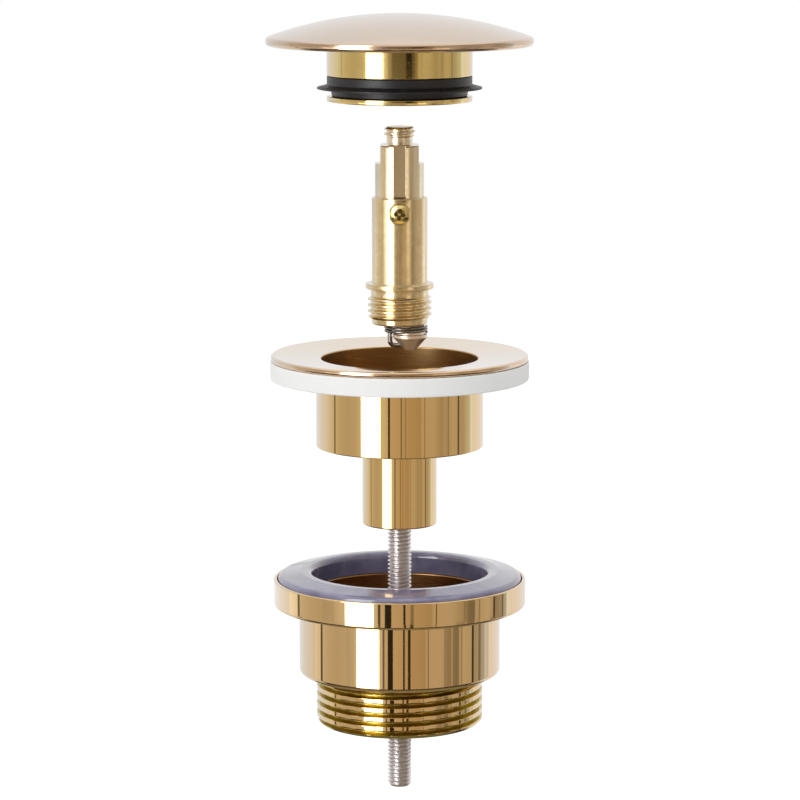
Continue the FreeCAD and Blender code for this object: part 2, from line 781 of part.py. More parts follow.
def make_plug_seal():
    """The black rubber ring in the neck's groove, with a thin lip that bends against the tube's bore."""
    body = new_body("plug_seal", up="dims.cap_rest + dims.neck_lip + dims.plug_seal_fit")
    bore = f"{SEAL_GROOVE} + dims.plug_seal_fit"
    side = f"({SEAL_GROOVE} + dims.plug_seal_wall)"
    foot = f"({SEAL_GROOVE} + dims.plug_seal_foot)"
    lip = f"({SEAL_GROOVE} + dims.plug_seal_wall + dims.plug_lip_reach)"
    top = "dims.groove_len - 2 * dims.plug_seal_fit"
    lip_top = "(dims.plug_lip_rise + dims.plug_lip_thick)"
    turned(
        body,
        "ring",
        [
            (bore, "0"),
            (foot, "0"),
            (foot, "dims.plug_lip_rise"),
            (lip, "dims.plug_lip_rise - dims.plug_lip_drop"),
            (lip, f"{lip_top} - dims.plug_lip_drop - dims.plug_lip_thick / 2"),
            (side, f"{lip_top} + dims.plug_lip_thick / 2"),
            (side, top),
            (bore, top),
        ],
    )
    return body


def solid(kind, name, up="0", **sizes):
    """A plain Part solid with its sizes and height bound to expressions."""
    made = doc.addObject(f"Part::{kind}", name)
    for size, expression in sizes.items():
        made.setExpression(size, expression)
    made.setExpression("Placement.Base.z", up)
    return made


def joined(kind, name, base, tool):
    made = doc.addObject(f"Part::{kind}", name)
    made.Base = base
    made.Tool = tool
    return made


def outer_rim_edges(shape, radius):
    """The numbers of the closed edges that reach out to this radius all round."""
    found = []
    for number, edge in enumerate(shape.Edges, start=1):
        width = edge.BoundBox.XLength
        if edge.isClosed() and abs(width - 2 * radius) < 1e-6:
            found.append(number)
    return found


def make_cap_dome():
    """The shallow domed shell with a rounded rim. Its local z = 0 is the rim's underside."""
    rim = "dims.cap_dia / 2"
    disc = solid("Cylinder", "cap_disc", Radius=rim, Height=CAP_HEIGHT)
    ball = solid("Sphere", "cap_outer_ball", up=CAP_CENTRE, Radius="dims.cap_sphere")
    hollow_ball = solid("Sphere", "cap_inner_ball", up=CAP_CENTRE, Radius=CAP_INNER_SPHERE)
    hollow_disc = solid("Cylinder", "cap_inner_disc", Radius=f"{rim} - dims.cap_rim", Height=CAP_HEIGHT)
    crown = joined("Common", "cap_crown", disc, ball)
    hollow = joined("Common", "cap_hollow", hollow_disc, hollow_ball)
    shell = joined("Cut", "cap_shell", crown, hollow)
    doc.recompute()
    softened = doc.addObject("Part::Fillet", "cap_dome")
    softened.Base = shell
    roundness = value("dims.cap_rim_round")
    softened.Edges = [(edge, roundness, roundness) for edge in outer_rim_edges(shell.Shape, value(rim))]
    softened.setExpression("Placement.Base.z", f"dims.cap_rest + {CAP_UNDERSIDE}")
    doc.recompute()
    return softened


def check_and_write(bodies):
    """Refuse a failed feature or a bad shape, then write one file for each piece."""
    doc.recompute()
    for thing in doc.Objects:
        if "Invalid" in thing.State or "Error" in thing.State:
            raise RuntimeError(f"{thing.Label} did not compute")
    for body in bodies:
        shape = body.Shape
        if shape.isNull() or not shape.isValid() or len(shape.Solids) != 1:
            raise RuntimeError(f"{body.Label} is not one valid solid")
    os.makedirs("parts", exist_ok=True)
    for body in bodies:
        body.Shape.exportStep(f"parts/{body.Label}.step")
        box = body.Shape.BoundBox
        print(f"{body.Label:14s} z {box.ZMin:8.2f} to {box.ZMax:8.2f}  volume {body.Shape.Volume:9.1f}")


check_and_write(
    [
        make_lower_body(),
        make_lower_seal(),
        make_clamp_rod(),
        make_upper_flange(),
        make_flange_gasket(),
        make_barrel(),
        make_guide_screw(),
        make_tail_block(),
        make_latch_wire(),
        make_latch_ring(),
        make_return_spring(),
        make_plunger(),
        make_plug_body(),
        make_plug_seal(),
        make_cap_dome(),
    ]
)
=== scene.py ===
import math

import bpy
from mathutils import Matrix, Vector


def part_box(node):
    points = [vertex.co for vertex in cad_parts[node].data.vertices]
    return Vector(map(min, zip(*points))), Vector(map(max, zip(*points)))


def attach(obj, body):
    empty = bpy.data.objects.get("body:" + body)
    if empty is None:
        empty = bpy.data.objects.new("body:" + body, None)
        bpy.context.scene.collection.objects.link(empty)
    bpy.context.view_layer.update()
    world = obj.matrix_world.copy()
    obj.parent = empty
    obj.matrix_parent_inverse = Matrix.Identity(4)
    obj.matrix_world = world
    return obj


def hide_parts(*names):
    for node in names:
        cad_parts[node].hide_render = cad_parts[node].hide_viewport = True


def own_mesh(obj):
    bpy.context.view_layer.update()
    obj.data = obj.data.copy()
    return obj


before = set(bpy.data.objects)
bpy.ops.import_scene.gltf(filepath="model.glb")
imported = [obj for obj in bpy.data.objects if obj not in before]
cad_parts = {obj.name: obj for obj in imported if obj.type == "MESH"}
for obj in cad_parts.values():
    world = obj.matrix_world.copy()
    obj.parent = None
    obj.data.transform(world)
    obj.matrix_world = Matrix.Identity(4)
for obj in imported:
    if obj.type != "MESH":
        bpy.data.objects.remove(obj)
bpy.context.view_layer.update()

# Gold push-open basin waste, taken apart along its upright axis.
# Lengths below are in millimetres, and MM turns them into the frame's metres. MERGE alone is in metres.

MM = 0.001
FINE_STEPS = 224
MIDDLE_STEPS = 160
SMALL_STEPS = 96
CORNER_STEPS = 5
CUTS_AT_ONCE = 80
MERGE = 1e-7
NEAR = 1e-3
BAND_SPARE = 0.01


def low(node):
    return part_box(node)[0].z / MM


def high(node):
    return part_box(node)[1].z / MM


def radius(node):
    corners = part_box(node)
    return (corners[1].x - corners[0].x) / 2 / MM


# Tail piece
TAIL_THREAD_R = 20.955
TAIL_THREAD_LEN = 12.6
TAIL_PITCH = 2.309
TAIL_ROWS = 140
TAIL_THREAD_DEPTH = 1.45
TAIL_RELIEF_R = 19.5
TAIL_RELIEF_LEN = 1.2
TAIL_CHAMFER = 0.9
TAIL_BORE_R = 18.25
CUP_R = 25.3
CUP_LEN = 17.4
CUP_BORE_R = 21.9
CUP_FLOOR = 2.4
SEAT_RECESS = 3.4
SEAT_WALL = 0.9
BRIDGE_LOW = 2.0
BRIDGE_THICK = 6.0
BRIDGE_ARM = 3.0
BOSS_R = 6.0
ROOT_SHADE = 0.12
SHADE_SPARE = 0.3
# Lower seal
SEAL_RISE = 4.3
SEAL_CROWN = 2.9
# Rod and its holes
ROD_PITCH = 1.0
ROD_ROWS = 880
ROD_THREAD_DEPTH = 0.58
ROD_HOLE_R = 3.05
# Upper flange
SLEEVE_R = 9.325
SLEEVE_LEN = 21.7
SLEEVE_FLOOR = 6.0
SLEEVE_BORE_R = 7.3
SOCKET_R = 8.05
SOCKET_DEPTH = 9.0
TUBE_R = 20.9
TUBE_BORE_R = 19.55
TUBE_RISE = 19.8
FLANGE_EDGE = 1.7
FLANGE_DISH = 1.1
RIB_THICK = 3.0
RIB_STEP = 3.1
RIM_ROUND = 0.75
GASKET_FIT = 0.2
# Cartridge
COLLAR_R = 8.5
COLLAR_THICK = 1.4
BARREL_R = 6.95
BARREL_BORE_R = 6.1
BARREL_DROP = 8.9
CART_THREAD_R = 8.0
CART_THREAD_LEN = 5.5
CART_PITCH = 1.5
CART_ROWS = 80
CART_THREAD_DEPTH = 0.86
CART_RELIEF_R = 7.2
CART_RELIEF_LEN = 1.9
GUIDE_RISE = 19.1
GUIDE_SEAT = 6.5
SCREW_SEAT_R = 2.75
# Guide screw and its cross recess
SCREW_SHANK_R = 1.45
SCREW_HEAD_LEN = 1.6
SCREW_EDGE = 0.9
RECESS_DEPTH = 1.1
RECESS_TURN = math.radians(-8)
RECESS_START = 0.25
RECESS_MIDDLE_R = 0.48
LOBE_PLACE = 1.04
LOBE_R = 0.44
# Plunger
PLUNGER_R = 6.05
STEM_R = 4.3
STEM_LEN = 12.0
PLUNGER_BODY = 21.8
STUD_RELIEF_R = 3.2
STUD_RELIEF_LEN = 2.0
STUD_R = 3.85
STUD_PITCH = 1.25
STUD_ROWS = 45
STUD_THREAD_DEPTH = 0.62
WRENCH_HALF = 4.75
WRENCH_LEN = 4.5
SLOT_HALF = 1.55
SLOT_DEPTH = 2.2
SLOT_RISE = 1.1
STEM_FLAT = 1.55
# Tail block and latch
CONE_LEN = 3.1
CONE_TIP_R = 1.5
STUB_R = 4.25
STUB_SHOULDER = 0.8
STUB_NECK_R = 3.55
STUB_NECK_LEN = 2.6
STUB_OFFSET = 2.6
DISC_FIT = 0.06
PIVOT_RISE = 1.0
PIVOT_FIT = 0.05
WIRE_R = 0.6
WIRE_REACH = 2.4
WIRE_BEND = 1.2
WIRE_TIP = 0.9
WIRE_SLOT_HALF = 0.85
WIRE_SLOT_SIDE = 1.7
HOOK_RISE = 17.3
RING_WIRE_R = 0.35
RING_MEAN_R = 5.1
RING_OFFSET = 1.6
RING_PITCH = 0.75
SPRING_WIRE_R = 0.45
SPRING_MEAN_R = 5.15
SPRING_TURNS = 7
SPRING_GAP = 0.05
# Plug
NECK_R = 18.0
NECK_LIP = 1.3
NECK_BORE_R = 15.0
GROOVE_LEN = 5.0
GROOVE_R = 16.3
HUB_RISE = 14.1
STUD_HOLE_R = 3.9
SEAL_SIDE_R = 17.95
SEAL_FOOT_R = 17.1
SEAL_FIT = 0.05
LIP_RISE = 2.3
CAP_SPHERE = 95.5
CAP_WALL = 1.8
CAP_RIM = 2.0
CAP_RIM_ROUND = 0.9
CAP_EDGE_ROUND = 0.95
CAP_CROWN_END = 1.0
CAP_POLISH = 1.0
SHELL_FIT = 0.05


# Mesh tools

def only(piece):
    """Select one piece alone and make it active."""
    bpy.ops.object.select_all(action="DESELECT")
    piece.select_set(True)
    bpy.context.view_layer.objects.active = piece


def edit_all(piece):
    only(piece)
    bpy.ops.object.mode_set(mode="EDIT")
    bpy.ops.mesh.select_all(action="SELECT")


def leave_edit():
    bpy.ops.object.mode_set(mode="OBJECT")


def apply_place(piece):
    """Put the piece's place, turn and scale into its mesh."""
    only(piece)
    bpy.ops.object.transform_apply(location=True, rotation=True, scale=True)
    return piece


def apply_last(piece):
    only(piece)
    bpy.ops.object.modifier_apply(modifier=piece.modifiers[-1].name)


def settle(piece):
    """Put the piece's place into its mesh, merge doubles and turn every face outwards."""
    apply_place(piece)
    edit_all(piece)
    bpy.ops.mesh.remove_doubles(threshold=MERGE)
    bpy.ops.mesh.normals_make_consistent(inside=False)
    leave_edit()
    return piece


def rounded(rows, closed):
    """The (across, up) points of an outline whose corners (across, up, rounding) are rounded by arcs."""
    points = []
    count = len(rows)
    for i, row in enumerate(rows):
        here = Vector(row[:2])
        roundness = row[2] if len(row) > 2 else 0
        at_end = not closed and i in (0, count - 1)
        if not roundness or at_end:
            points.append(here)
            continue
        back = (Vector(rows[i - 1][:2]) - here).normalized()
        ahead = (Vector(rows[(i + 1) % count][:2]) - here).normalized()
        half = back.angle(ahead) / 2
        run = roundness / math.tan(half)
        middle = here + (back + ahead).normalized() * roundness / math.sin(half)
        first = here + back * run - middle
        last = here + ahead * run - middle
        sweep = first.angle(last)
        for k in range(CORNER_STEPS + 1):
            share = k / CORNER_STEPS
            spread = math.sin(sweep)
            point = first * math.sin((1 - share) * sweep) / spread + last * math.sin(share * sweep) / spread
            points.append(middle + point)
    return points


def draw_section(name, points, closed):
    """A line of vertices in the upright plane through the axis, extruded point by point."""
    bpy.ops.object.select_all(action="DESELECT")
    bpy.ops.mesh.primitive_plane_add(size=MM, location=(points[0].x * MM, 0, points[0].y * MM))
    piece = bpy.context.object
    piece.name = name
    edit_all(piece)
    bpy.ops.mesh.merge(type="CENTER")
    for before, after in zip(points, points[1:]):
        step = (after - before) * MM
        bpy.ops.mesh.extrude_vertices_move(TRANSFORM_OT_translate={"value": (step.x, 0, step.y)})
    leave_edit()
    apply_place(piece)
    if closed:
        ends = (0, len(piece.data.vertices) - 1)
        for vertex in piece.data.vertices:
            vertex.select = vertex.index in ends
        only(piece)
        bpy.ops.object.mode_set(mode="EDIT")
        bpy.ops.mesh.edge_face_add()
        leave_edit()
    return piece


def on_band(across, up, band_r, bottom, top):
    """Whether a point lies on the upright band of a turned piece that a thread is pressed into."""
    return abs(across - band_r) < NEAR and bottom - BAND_SPARE < up < top + BAND_SPARE


def lathe(name, rows, steps=FINE_STEPS, closed=True, dense=None):
    """A closed solid turned about the axis from rows of (radius, height, rounding).

    dense is (radius, low, high, rows): the band for a thread there is cut into about that many rows."""
    piece = draw_section(name, rounded(rows, closed), closed)
    if dense:
        across, bottom, top, dense_rows = dense
        coarse = math.ceil(dense_rows / CUTS_AT_ONCE)
        for edge in piece.data.edges:
            ends = [piece.data.vertices[i].co for i in edge.vertices]
            edge.select = all(on_band(end.x / MM, end.z / MM, across, bottom, top) for end in ends)
        for vertex in piece.data.vertices:
            vertex.select = False
        only(piece)
        bpy.ops.object.mode_set(mode="EDIT")
        bpy.ops.mesh.select_mode(type="EDGE")
        if coarse > 1:
            bpy.ops.mesh.subdivide(number_cuts=coarse - 1)
        bpy.ops.mesh.subdivide(number_cuts=math.ceil(dense_rows / coarse) - 1)
        bpy.ops.mesh.select_mode(type="VERT")
        leave_edit()
    turn = piece.modifiers.new("Turn", "SCREW")
    turn.axis = "Z"
    turn.angle = 2 * math.pi
    turn.steps = steps
    turn.render_steps = steps
    turn.use_merge_vertices = True
    turn.merge_threshold = MERGE
    apply_last(piece)
    return settle(piece)


def tooth(phase, crest, root):
    """How deep a thread is at this share of its pitch: 0 on the crest, 1 in the root."""
    away = abs(phase - 0.5) * 2
    flank = (away - crest) / max(1 - crest - root, 1e-6)
    smooth = min(max(flank, 0), 1)
    return smooth * smooth * (3 - 2 * smooth) * 0.5 + smooth * 0.5


def cut_thread(piece, across, bottom, top, pitch, depth, bevel, start=0.0, crest=0.3, root=0.2):
    """Press a right-hand thread into the dense rows of a turned piece.

    bevel is the depth of the chamfers at its (low, high) ends."""
    for vertex in piece.data.vertices:
        place = vertex.co
        here = math.hypot(place.x, place.y) / MM
        up = place.z / MM
        if not on_band(here, up, across, bottom, top):
            continue
        turn = math.atan2(place.y, place.x) / (2 * math.pi)
        phase = (up / pitch - turn + start) % 1
        wanted = across - depth * tooth(phase, crest, root)
        wanted = min(wanted, across - bevel[0] + (up - bottom), across - bevel[1] + (top - up))
        place.x *= wanted / here
        place.y *= wanted / here
    piece.data.update()


def boolean(piece, tool, operation):
    """Join or cut with another closed mesh, which is used up."""
    joint = piece.modifiers.new("Joint", "BOOLEAN")
    joint.operation = operation
    joint.solver = "EXACT"
    joint.object = tool
    apply_last(piece)
    bpy.data.objects.remove(tool)
    return piece


def block(name, corner_low, corner_high, soft=0.0):
    """A box between two corners, with softened edges."""
    middle = [(a + b) / 2 * MM for a, b in zip(corner_low, corner_high)]
    size = [(b - a) * MM for a, b in zip(corner_low, corner_high)]
    bpy.ops.object.select_all(action="DESELECT")
    bpy.ops.mesh.primitive_cube_add(size=1, location=middle)
    made = bpy.context.object
    made.name = name
    made.scale = size
    apply_place(made)
    if soft:
        edit_all(made)
        bpy.ops.mesh.bevel(offset=soft * MM, segments=3, affect="EDGES")
        leave_edit()
    return made


def rod_between(name, across, bottom, top, steps):
    bpy.ops.object.select_all(action="DESELECT")
    middle = (0, 0, (bottom + top) / 2 * MM)
    height = (top - bottom) * MM
    bpy.ops.mesh.primitive_cylinder_add(vertices=steps, radius=across * MM, depth=height, location=middle)
    made = bpy.context.object
    made.name = name
    return apply_place(made)


def turn_about_axis(piece, degrees):
    piece.rotation_euler = (0, 0, math.radians(degrees))
    return apply_place(piece)


def shift(piece, across=0.0, depth=0.0, up=0.0):
    piece.location = (across * MM, depth * MM, up * MM)
    return apply_place(piece)


def wire_coil(name, mean, wire, pitch, turns, bottom, steps=72, sides=12):
    """A round wire wound about the axis, closed at both ends."""
    bpy.ops.object.select_all(action="DESELECT")
    place = (mean * MM, 0, bottom * MM)
    upright = (math.pi / 2, 0, 0)
    bpy.ops.mesh.primitive_circle_add(vertices=sides, radius=wire * MM, location=place, rotation=upright)
    piece = bpy.context.object
    piece.name = name
    apply_place(piece)
    wind = piece.modifiers.new("Wind", "SCREW")
    wind.axis = "Z"
    wind.angle = 2 * math.pi
    wind.screw_offset = pitch * MM
    wind.iterations = turns
    wind.steps = steps
    wind.render_steps = steps
    apply_last(piece)
    edit_all(piece)
    bpy.ops.mesh.remove_doubles(threshold=MERGE)
    bpy.ops.mesh.fill_holes(sides=sides)
    leave_edit()
    return settle(piece)


def finish(piece, body, nodes, material, sharp=32):
    """Smooth shading with crisp edges, the material, and the piece's place in the frame."""
    only(piece)
    bpy.ops.object.shade_smooth_by_angle(angle=math.radians(sharp))
    flat = piece.modifiers.new("Flat faces", "WEIGHTED_NORMAL")
    flat.keep_sharp = True
    apply_last(piece)
    piece.data.materials.clear()
    piece.data.materials.append(material)
    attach(piece, body)
    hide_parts(*nodes)
    return piece


def dress(piece, material, wanted):
    """Give a second material to the faces for which wanted(x, y, z) holds, in millimetres."""
    piece.data.materials.append(material)
    number = len(piece.data.materials) - 1
    for face in piece.data.polygons:
        if wanted(*(face.center / MM)):
            face.material_index = number
    return piece


# Material tools

def add_node(tree, kind, settings=None, **inputs):
    """A shader node, with its properties and the values or links of its inputs."""
    node = tree.nodes.new(kind)
    for key, setting in (settings or {}).items():
        setattr(node, key, setting)
    for name, source in inputs.items():
        number = name.replace("_", " ")
        socket = node.inputs[int(name[1:])] if name[0] == "i" and name[1:].isdigit() else node.inputs[number]
        if isinstance(source, bpy.types.NodeSocket):
            tree.links.new(source, socket)
        else:
            socket.default_value = source
    return node


def calculate(tree, operation, *values):
    """The result of a sum, product or other step of numbers."""
    inputs = {f"i{number}": value for number, value in enumerate(values)}
    return add_node(tree, "ShaderNodeMath", {"operation": operation}, **inputs).outputs[0]


def fade(tree, source, first, last, lowest=0.0, highest=1.0):
    """A number that goes from lowest to highest while the source goes from first to last."""
    node = add_node(tree, "ShaderNodeMapRange", i0=source, i1=first, i2=last, i3=lowest, i4=highest)
    return node.outputs[0]


def new_group(name, inputs, outputs):
    """An empty effect group whose inputs and outputs are numbers."""
    tree = bpy.data.node_groups.new(name, "ShaderNodeTree")
    for title, start in inputs.items():
        socket = tree.interface.new_socket(title, in_out="INPUT", socket_type="NodeSocketFloat")
        socket.default_value = start
    for title in outputs:
        tree.interface.new_socket(title, in_out="OUTPUT", socket_type="NodeSocketFloat")
    return tree, tree.nodes.new("NodeGroupInput"), tree.nodes.new("NodeGroupOutput")


# How far the rings stray sideways for each unit of their waver
SWAY = 100.0


def make_turning_marks():
    """Fine rings that a lathe or a polishing wheel leaves round the axis.

    Mask is 0 to 1, and Height feeds a bump."""
    tree, start, end = new_group("turning_marks", {"Rings per mm": 6.0, "Waver": 0.4}, ("Mask", "Height"))
    place = add_node(tree, "ShaderNodeTexCoord")
    parts = add_node(tree, "ShaderNodeSeparateXYZ", i0=place.outputs["Object"])
    flat = add_node(tree, "ShaderNodeCombineXYZ", i0=parts.outputs[0], i1=parts.outputs[1])
    out = add_node(tree, "ShaderNodeVectorMath", {"operation": "LENGTH"}, i0=flat.outputs[0])
    scale = calculate(tree, "MULTIPLY", start.outputs[0], 1 / MM)
    ring = calculate(tree, "MULTIPLY", out.outputs["Value"], scale)
    rise = calculate(tree, "MULTIPLY", parts.outputs[2], scale)
    sway = calculate(tree, "MULTIPLY", start.outputs[1], SWAY)
    side = calculate(tree, "MULTIPLY", parts.outputs[0], sway)
    space = add_node(tree, "ShaderNodeCombineXYZ", i0=ring, i1=rise, i2=side).outputs[0]
    grain = add_node(tree, "ShaderNodeTexNoise", Vector=space, Scale=1.0, Detail=4.0, Roughness=0.6)
    tree.links.new(fade(tree, grain.outputs[0], 0.3, 0.7), end.inputs[0])
    tree.links.new(grain.outputs[0], end.inputs[1])
    return tree


def make_handling_and_sheen():
    """Soft blotches and small specks of wear and dust; on the violet silicone the blotches are painted sheen
    streaks. Both outputs are 0 to 1.
    """
    tree, start, end = new_group("handling_and_sheen", {"Size mm": 8.0, "Speck mm": 0.6}, ("Blotches", "Specks"))
    place = add_node(tree, "ShaderNodeTexCoord").outputs["Object"]
    wide = calculate(tree, "DIVIDE", 1 / MM, start.outputs[0])
    tight = calculate(tree, "DIVIDE", 1 / MM, start.outputs[1])
    soft = add_node(tree, "ShaderNodeTexNoise", Vector=place, Scale=wide, Detail=3.0)
    fine = add_node(tree, "ShaderNodeTexNoise", Vector=place, Scale=tight, Detail=2.0)
    tree.links.new(fade(tree, soft.outputs[0], 0.35, 0.7), end.inputs[0])
    tree.links.new(fade(tree, fine.outputs[0], 0.66, 0.74), end.inputs[1])
    return tree


# Its mask darkens the colour of the bores' walls: painted shade.
def make_inside():
    """1 on walls that face the axis, 0 on those that face away from it."""
    tree, _, end = new_group("inside_walls", {}, ("Mask",))
    place = add_node(tree, "ShaderNodeTexCoord")
    parts = add_node(tree, "ShaderNodeSeparateXYZ", i0=place.outputs["Object"])
    flat = add_node(tree, "ShaderNodeCombineXYZ", i0=parts.outputs[0], i1=parts.outputs[1])
    away = add_node(tree, "ShaderNodeVectorMath", {"operation": "NORMALIZE"}, i0=flat.outputs[0])
    normal = place.outputs["Normal"]
    facing = add_node(
        tree, "ShaderNodeVectorMath", {"operation": "DOT_PRODUCT"}, i0=away.outputs[0], i1=normal
    )
    tree.links.new(fade(tree, facing.outputs["Value"], -0.2, -0.7), end.inputs[0])
    return tree


TURNING_MARKS = make_turning_marks()
HANDLING_AND_SHEEN = make_handling_and_sheen()
INSIDE = make_inside()


def use_group(tree, group, **values):
    node = tree.nodes.new("ShaderNodeGroup")
    node.node_tree = group
    for name, level in values.items():
        node.inputs[name.replace("_", " ")].default_value = level
    return node


def mix_colour(tree, share, first, second):
    node = tree.nodes.new("ShaderNodeMix")
    node.data_type = "RGBA"
    for socket, source in ((node.inputs[0], share), (node.inputs[6], first), (node.inputs[7], second)):
        if isinstance(source, bpy.types.NodeSocket):
            tree.links.new(source, socket)
        else:
            socket.default_value = source
    return node.outputs[2]


def add_product(tree, first, second, rest):
    """first times second, plus the rest."""
    return calculate(tree, "MULTIPLY_ADD", first, second, rest)


# How a surface changes where it is seen at a low angle (a painted sheen), under a speck, and on walls that
# face the axis
GRAZING_ANGLES = (0.4, 0.9)
GRAZING_SHARE = 0.9
SPECK_ROUGH = 0.08
INSIDE_ROUGH = 0.25


def make_material(
    name, base, second, rough, rings, bump, bump_mm, size, waver=0.4, blotch=0.4, metallic=1.0,
    grazing=None, inside=None,
):
    """A surface with turned rings, blotches and specks, varying between the linear colours base and second.

    grazing is the colour it tends to at a low angle, a painted sheen; inside is that of the walls that face
    the axis, painted shade in the bores."""
    material = bpy.data.materials.new(name)
    material.use_nodes = True
    tree = material.node_tree
    surface = tree.nodes["Principled BSDF"]
    marks = use_group(tree, TURNING_MARKS, Rings_per_mm=rings, Waver=waver)
    wear_and_sheen = use_group(tree, HANDLING_AND_SHEEN, Size_mm=size)
    share = calculate(tree, "MULTIPLY", wear_and_sheen.outputs[0], blotch)
    colour = mix_colour(tree, share, (*base, 1), (*second, 1))
    # Painted sheen: the colour pales towards grazing where the surface is seen at a low angle.
    if grazing:
        edge = add_node(tree, "ShaderNodeLayerWeight", Blend=0.5)
        low_angle = fade(tree, edge.outputs["Facing"], *GRAZING_ANGLES, highest=GRAZING_SHARE)
        colour = mix_colour(tree, low_angle, colour, (*grazing, 1))
    worn = add_product(tree, wear_and_sheen.outputs[1], SPECK_ROUGH, fade(tree, marks.outputs[0], 0.0, 1.0, *rough))
    # Painted shade: the walls that face the axis take the darker inside colour, and a real rougher finish.
    if inside:
        walls = use_group(tree, INSIDE)
        colour = mix_colour(tree, walls.outputs[0], colour, (*inside, 1))
        worn = add_product(tree, walls.outputs[0], INSIDE_ROUGH, worn)
    tree.links.new(colour, surface.inputs["Base Color"])
    tree.links.new(worn, surface.inputs["Roughness"])
    surface.inputs["Metallic"].default_value = metallic
    relief = add_node(tree, "ShaderNodeBump", Strength=bump, Distance=bump_mm * MM, Height=marks.outputs[1])
    tree.links.new(relief.outputs[0], surface.inputs["Normal"])
    return material


# Camera, lights and background

CAMERA_TILT = math.radians(8.9)
CAMERA_DISTANCE = 0.880
CAMERA_AIM = (0.0001, 0.0, 0.0819)
CAMERA_LENS = 158.4


def make_camera():
    back = CAMERA_DISTANCE * math.cos(CAMERA_TILT)
    rise = CAMERA_DISTANCE * math.sin(CAMERA_TILT)
    place = (CAMERA_AIM[0], CAMERA_AIM[1] - back, CAMERA_AIM[2] + rise)
    bpy.ops.object.camera_add(location=place, rotation=(math.pi / 2 - CAMERA_TILT, 0, 0))
    camera = bpy.context.object
    camera.data.lens = CAMERA_LENS
    camera.data.sensor_width = 36.0
    camera.data.clip_start = 0.01
    bpy.context.scene.camera = camera


def make_lamp(name, place, size, power):
    """A soft lamp that looks at the object and isn't itself mirrored in it."""
    bpy.ops.object.light_add(type="AREA", location=place)
    lamp = bpy.context.object
    lamp.name = name
    lamp.data.shape = "RECTANGLE"
    lamp.data.size, lamp.data.size_y = size
    lamp.data.energy = power
    aim = Vector(CAMERA_AIM) - Vector(place)
    lamp.rotation_euler = aim.to_track_quat("-Z", "Y").to_euler()
    lamp.visible_glossy = False


# What the polished surfaces mirror, by its direction from the object: 0 is the camera's side, minus its left.
# The room goes (degrees, level, warmth), where warmth takes the loss below from its red, green and blue.
ROOM = [
    (-180, 0.88, 0.0), (-128, 0.76, 0.0), (-118, 0.74, 0.0), (-108, 0.68, 0.22), (-96, 0.6, 0.38),
    (-88, 0.56, 0.5), (-75, 0.51, 0.5), (-62, 0.55, 0.5), (-54, 0.64, 0.4), (-26, 0.7, 0.3), (-18, 0.63, 0.5),
    (-14, 0.56, 0.7), (0, 0.52, 0.8), (10, 0.48, 0.9), (20, 0.46, 0.9), (28, 0.42, 0.9), (30.5, 0.52, 0.7),
    (44, 0.52, 0.6), (49, 0.5, 0.6), (56, 0.43, 0.7), (60, 0.4, 0.7), (64, 0.47, 0.6), (68, 0.42, 0.6),
    (77, 0.53, 0.6), (88, 0.48, 0.5), (96, 0.44, 0.5), (106, 0.57, 0.2), (111, 0.57, -0.1),
    (115, 0.84, -0.5), (118.5, 0.84, 0.15), (130, 0.86, 0.25), (180, 0.88, 0.0),
]
WARM_LOSS = (0.0, 0.27, 0.55)
# The softbox, further left before the upper pieces: (low, high degree, low, high height)
SOFTBOXES = [
    (-53.5, -26.0, -0.095, 0.063), (-53.5, -38.0, 0.063, 0.09), (-53.5, -26.0, 0.09, 0.8),
    (-49.5, -23.0, -0.8, -0.095),
]
SOFTBOX_LEVEL = 4.2
# Dark stands and light boards before the wall, for each stretch of its height: (low, high degree, change)
STANDS = {
    (-0.45, -0.18): [(-100, 93, -0.92)],
    (-0.18, -0.124): [
        (-112, -102, 0.15), (-101, -97.8, -0.85), (-62, -52, -0.12), (-19, -16.8, -0.75),
        (-13.2, -7.4, -0.95), (3.8, 5.8, -0.92), (9.2, 12.2, -0.92), (31.6, 33, -0.5), (51, 60, -0.27),
        (62.5, 70.5, -0.44), (73.4, 75.6, -0.3), (89.6, 93.0, -0.88), (94, 100.6, -0.12),
        (100.8, 105.2, -0.6), (105.2, 122, -0.25),
    ],
    (-0.124, -0.095): [
        (-181, -118, 0.15), (-118, -105, 0.35), (-104.6, -101.6, -0.75), (-73, -60, -0.1),
        (-19.2, -16.8, -0.85), (-13, -7.2, -0.95), (3.2, 5.2, -0.92), (9.6, 12.4, -0.45),
        (32.2, 33.4, -0.7), (59, 63, -0.27), (63, 71, -0.5), (75, 77, -0.4), (82, 89, 0.1),
        (92.8, 95.6, -0.8), (96, 105, -0.32), (105, 107.4, -0.7), (107.4, 112, -0.2),
    ],
    (-0.095, 0.0): [
        (-100.8, -97.8, -0.7), (-15.6, -12.8, -0.9), (1.4, 3.2, -0.6), (7.2, 8.6, -0.35), (33.4, 34.8, -0.45),
        (68.8, 70.4, -0.4), (85.8, 89, -0.75),
    ],
    (0.0, 0.063): [
        (-125, -66, 0.3), (-66, -53.5, 1.2), (-22, 8, -0.3), (12, 44, 0.55), (51, 58, -0.6), (68, 80, 0.1),
        (84, 130, 0.4),
    ],
    (0.063, 0.09): [
        (-181, -110, -0.3), (-95, -68, 0.25), (-68, -53.5, 4.0), (-22, 8, -0.1), (28, 42, 2.8),
        (50, 72, -0.15),
    ],
    (0.105, 0.3): [
        (-104.5, -102, -0.35), (-26, -22, 0.35), (-18, -12, -0.4), (-12, 10, -0.72), (10, 19.5, -0.98),
        (19.5, 24, -0.72), (24, 28, -0.4), (33.5, 35, -0.3), (68, 73, -0.15), (87.5, 91.5, -0.35),
    ],
}
STUDIO_RADIUS = 0.7
STUDIO_HEIGHT = 1.6
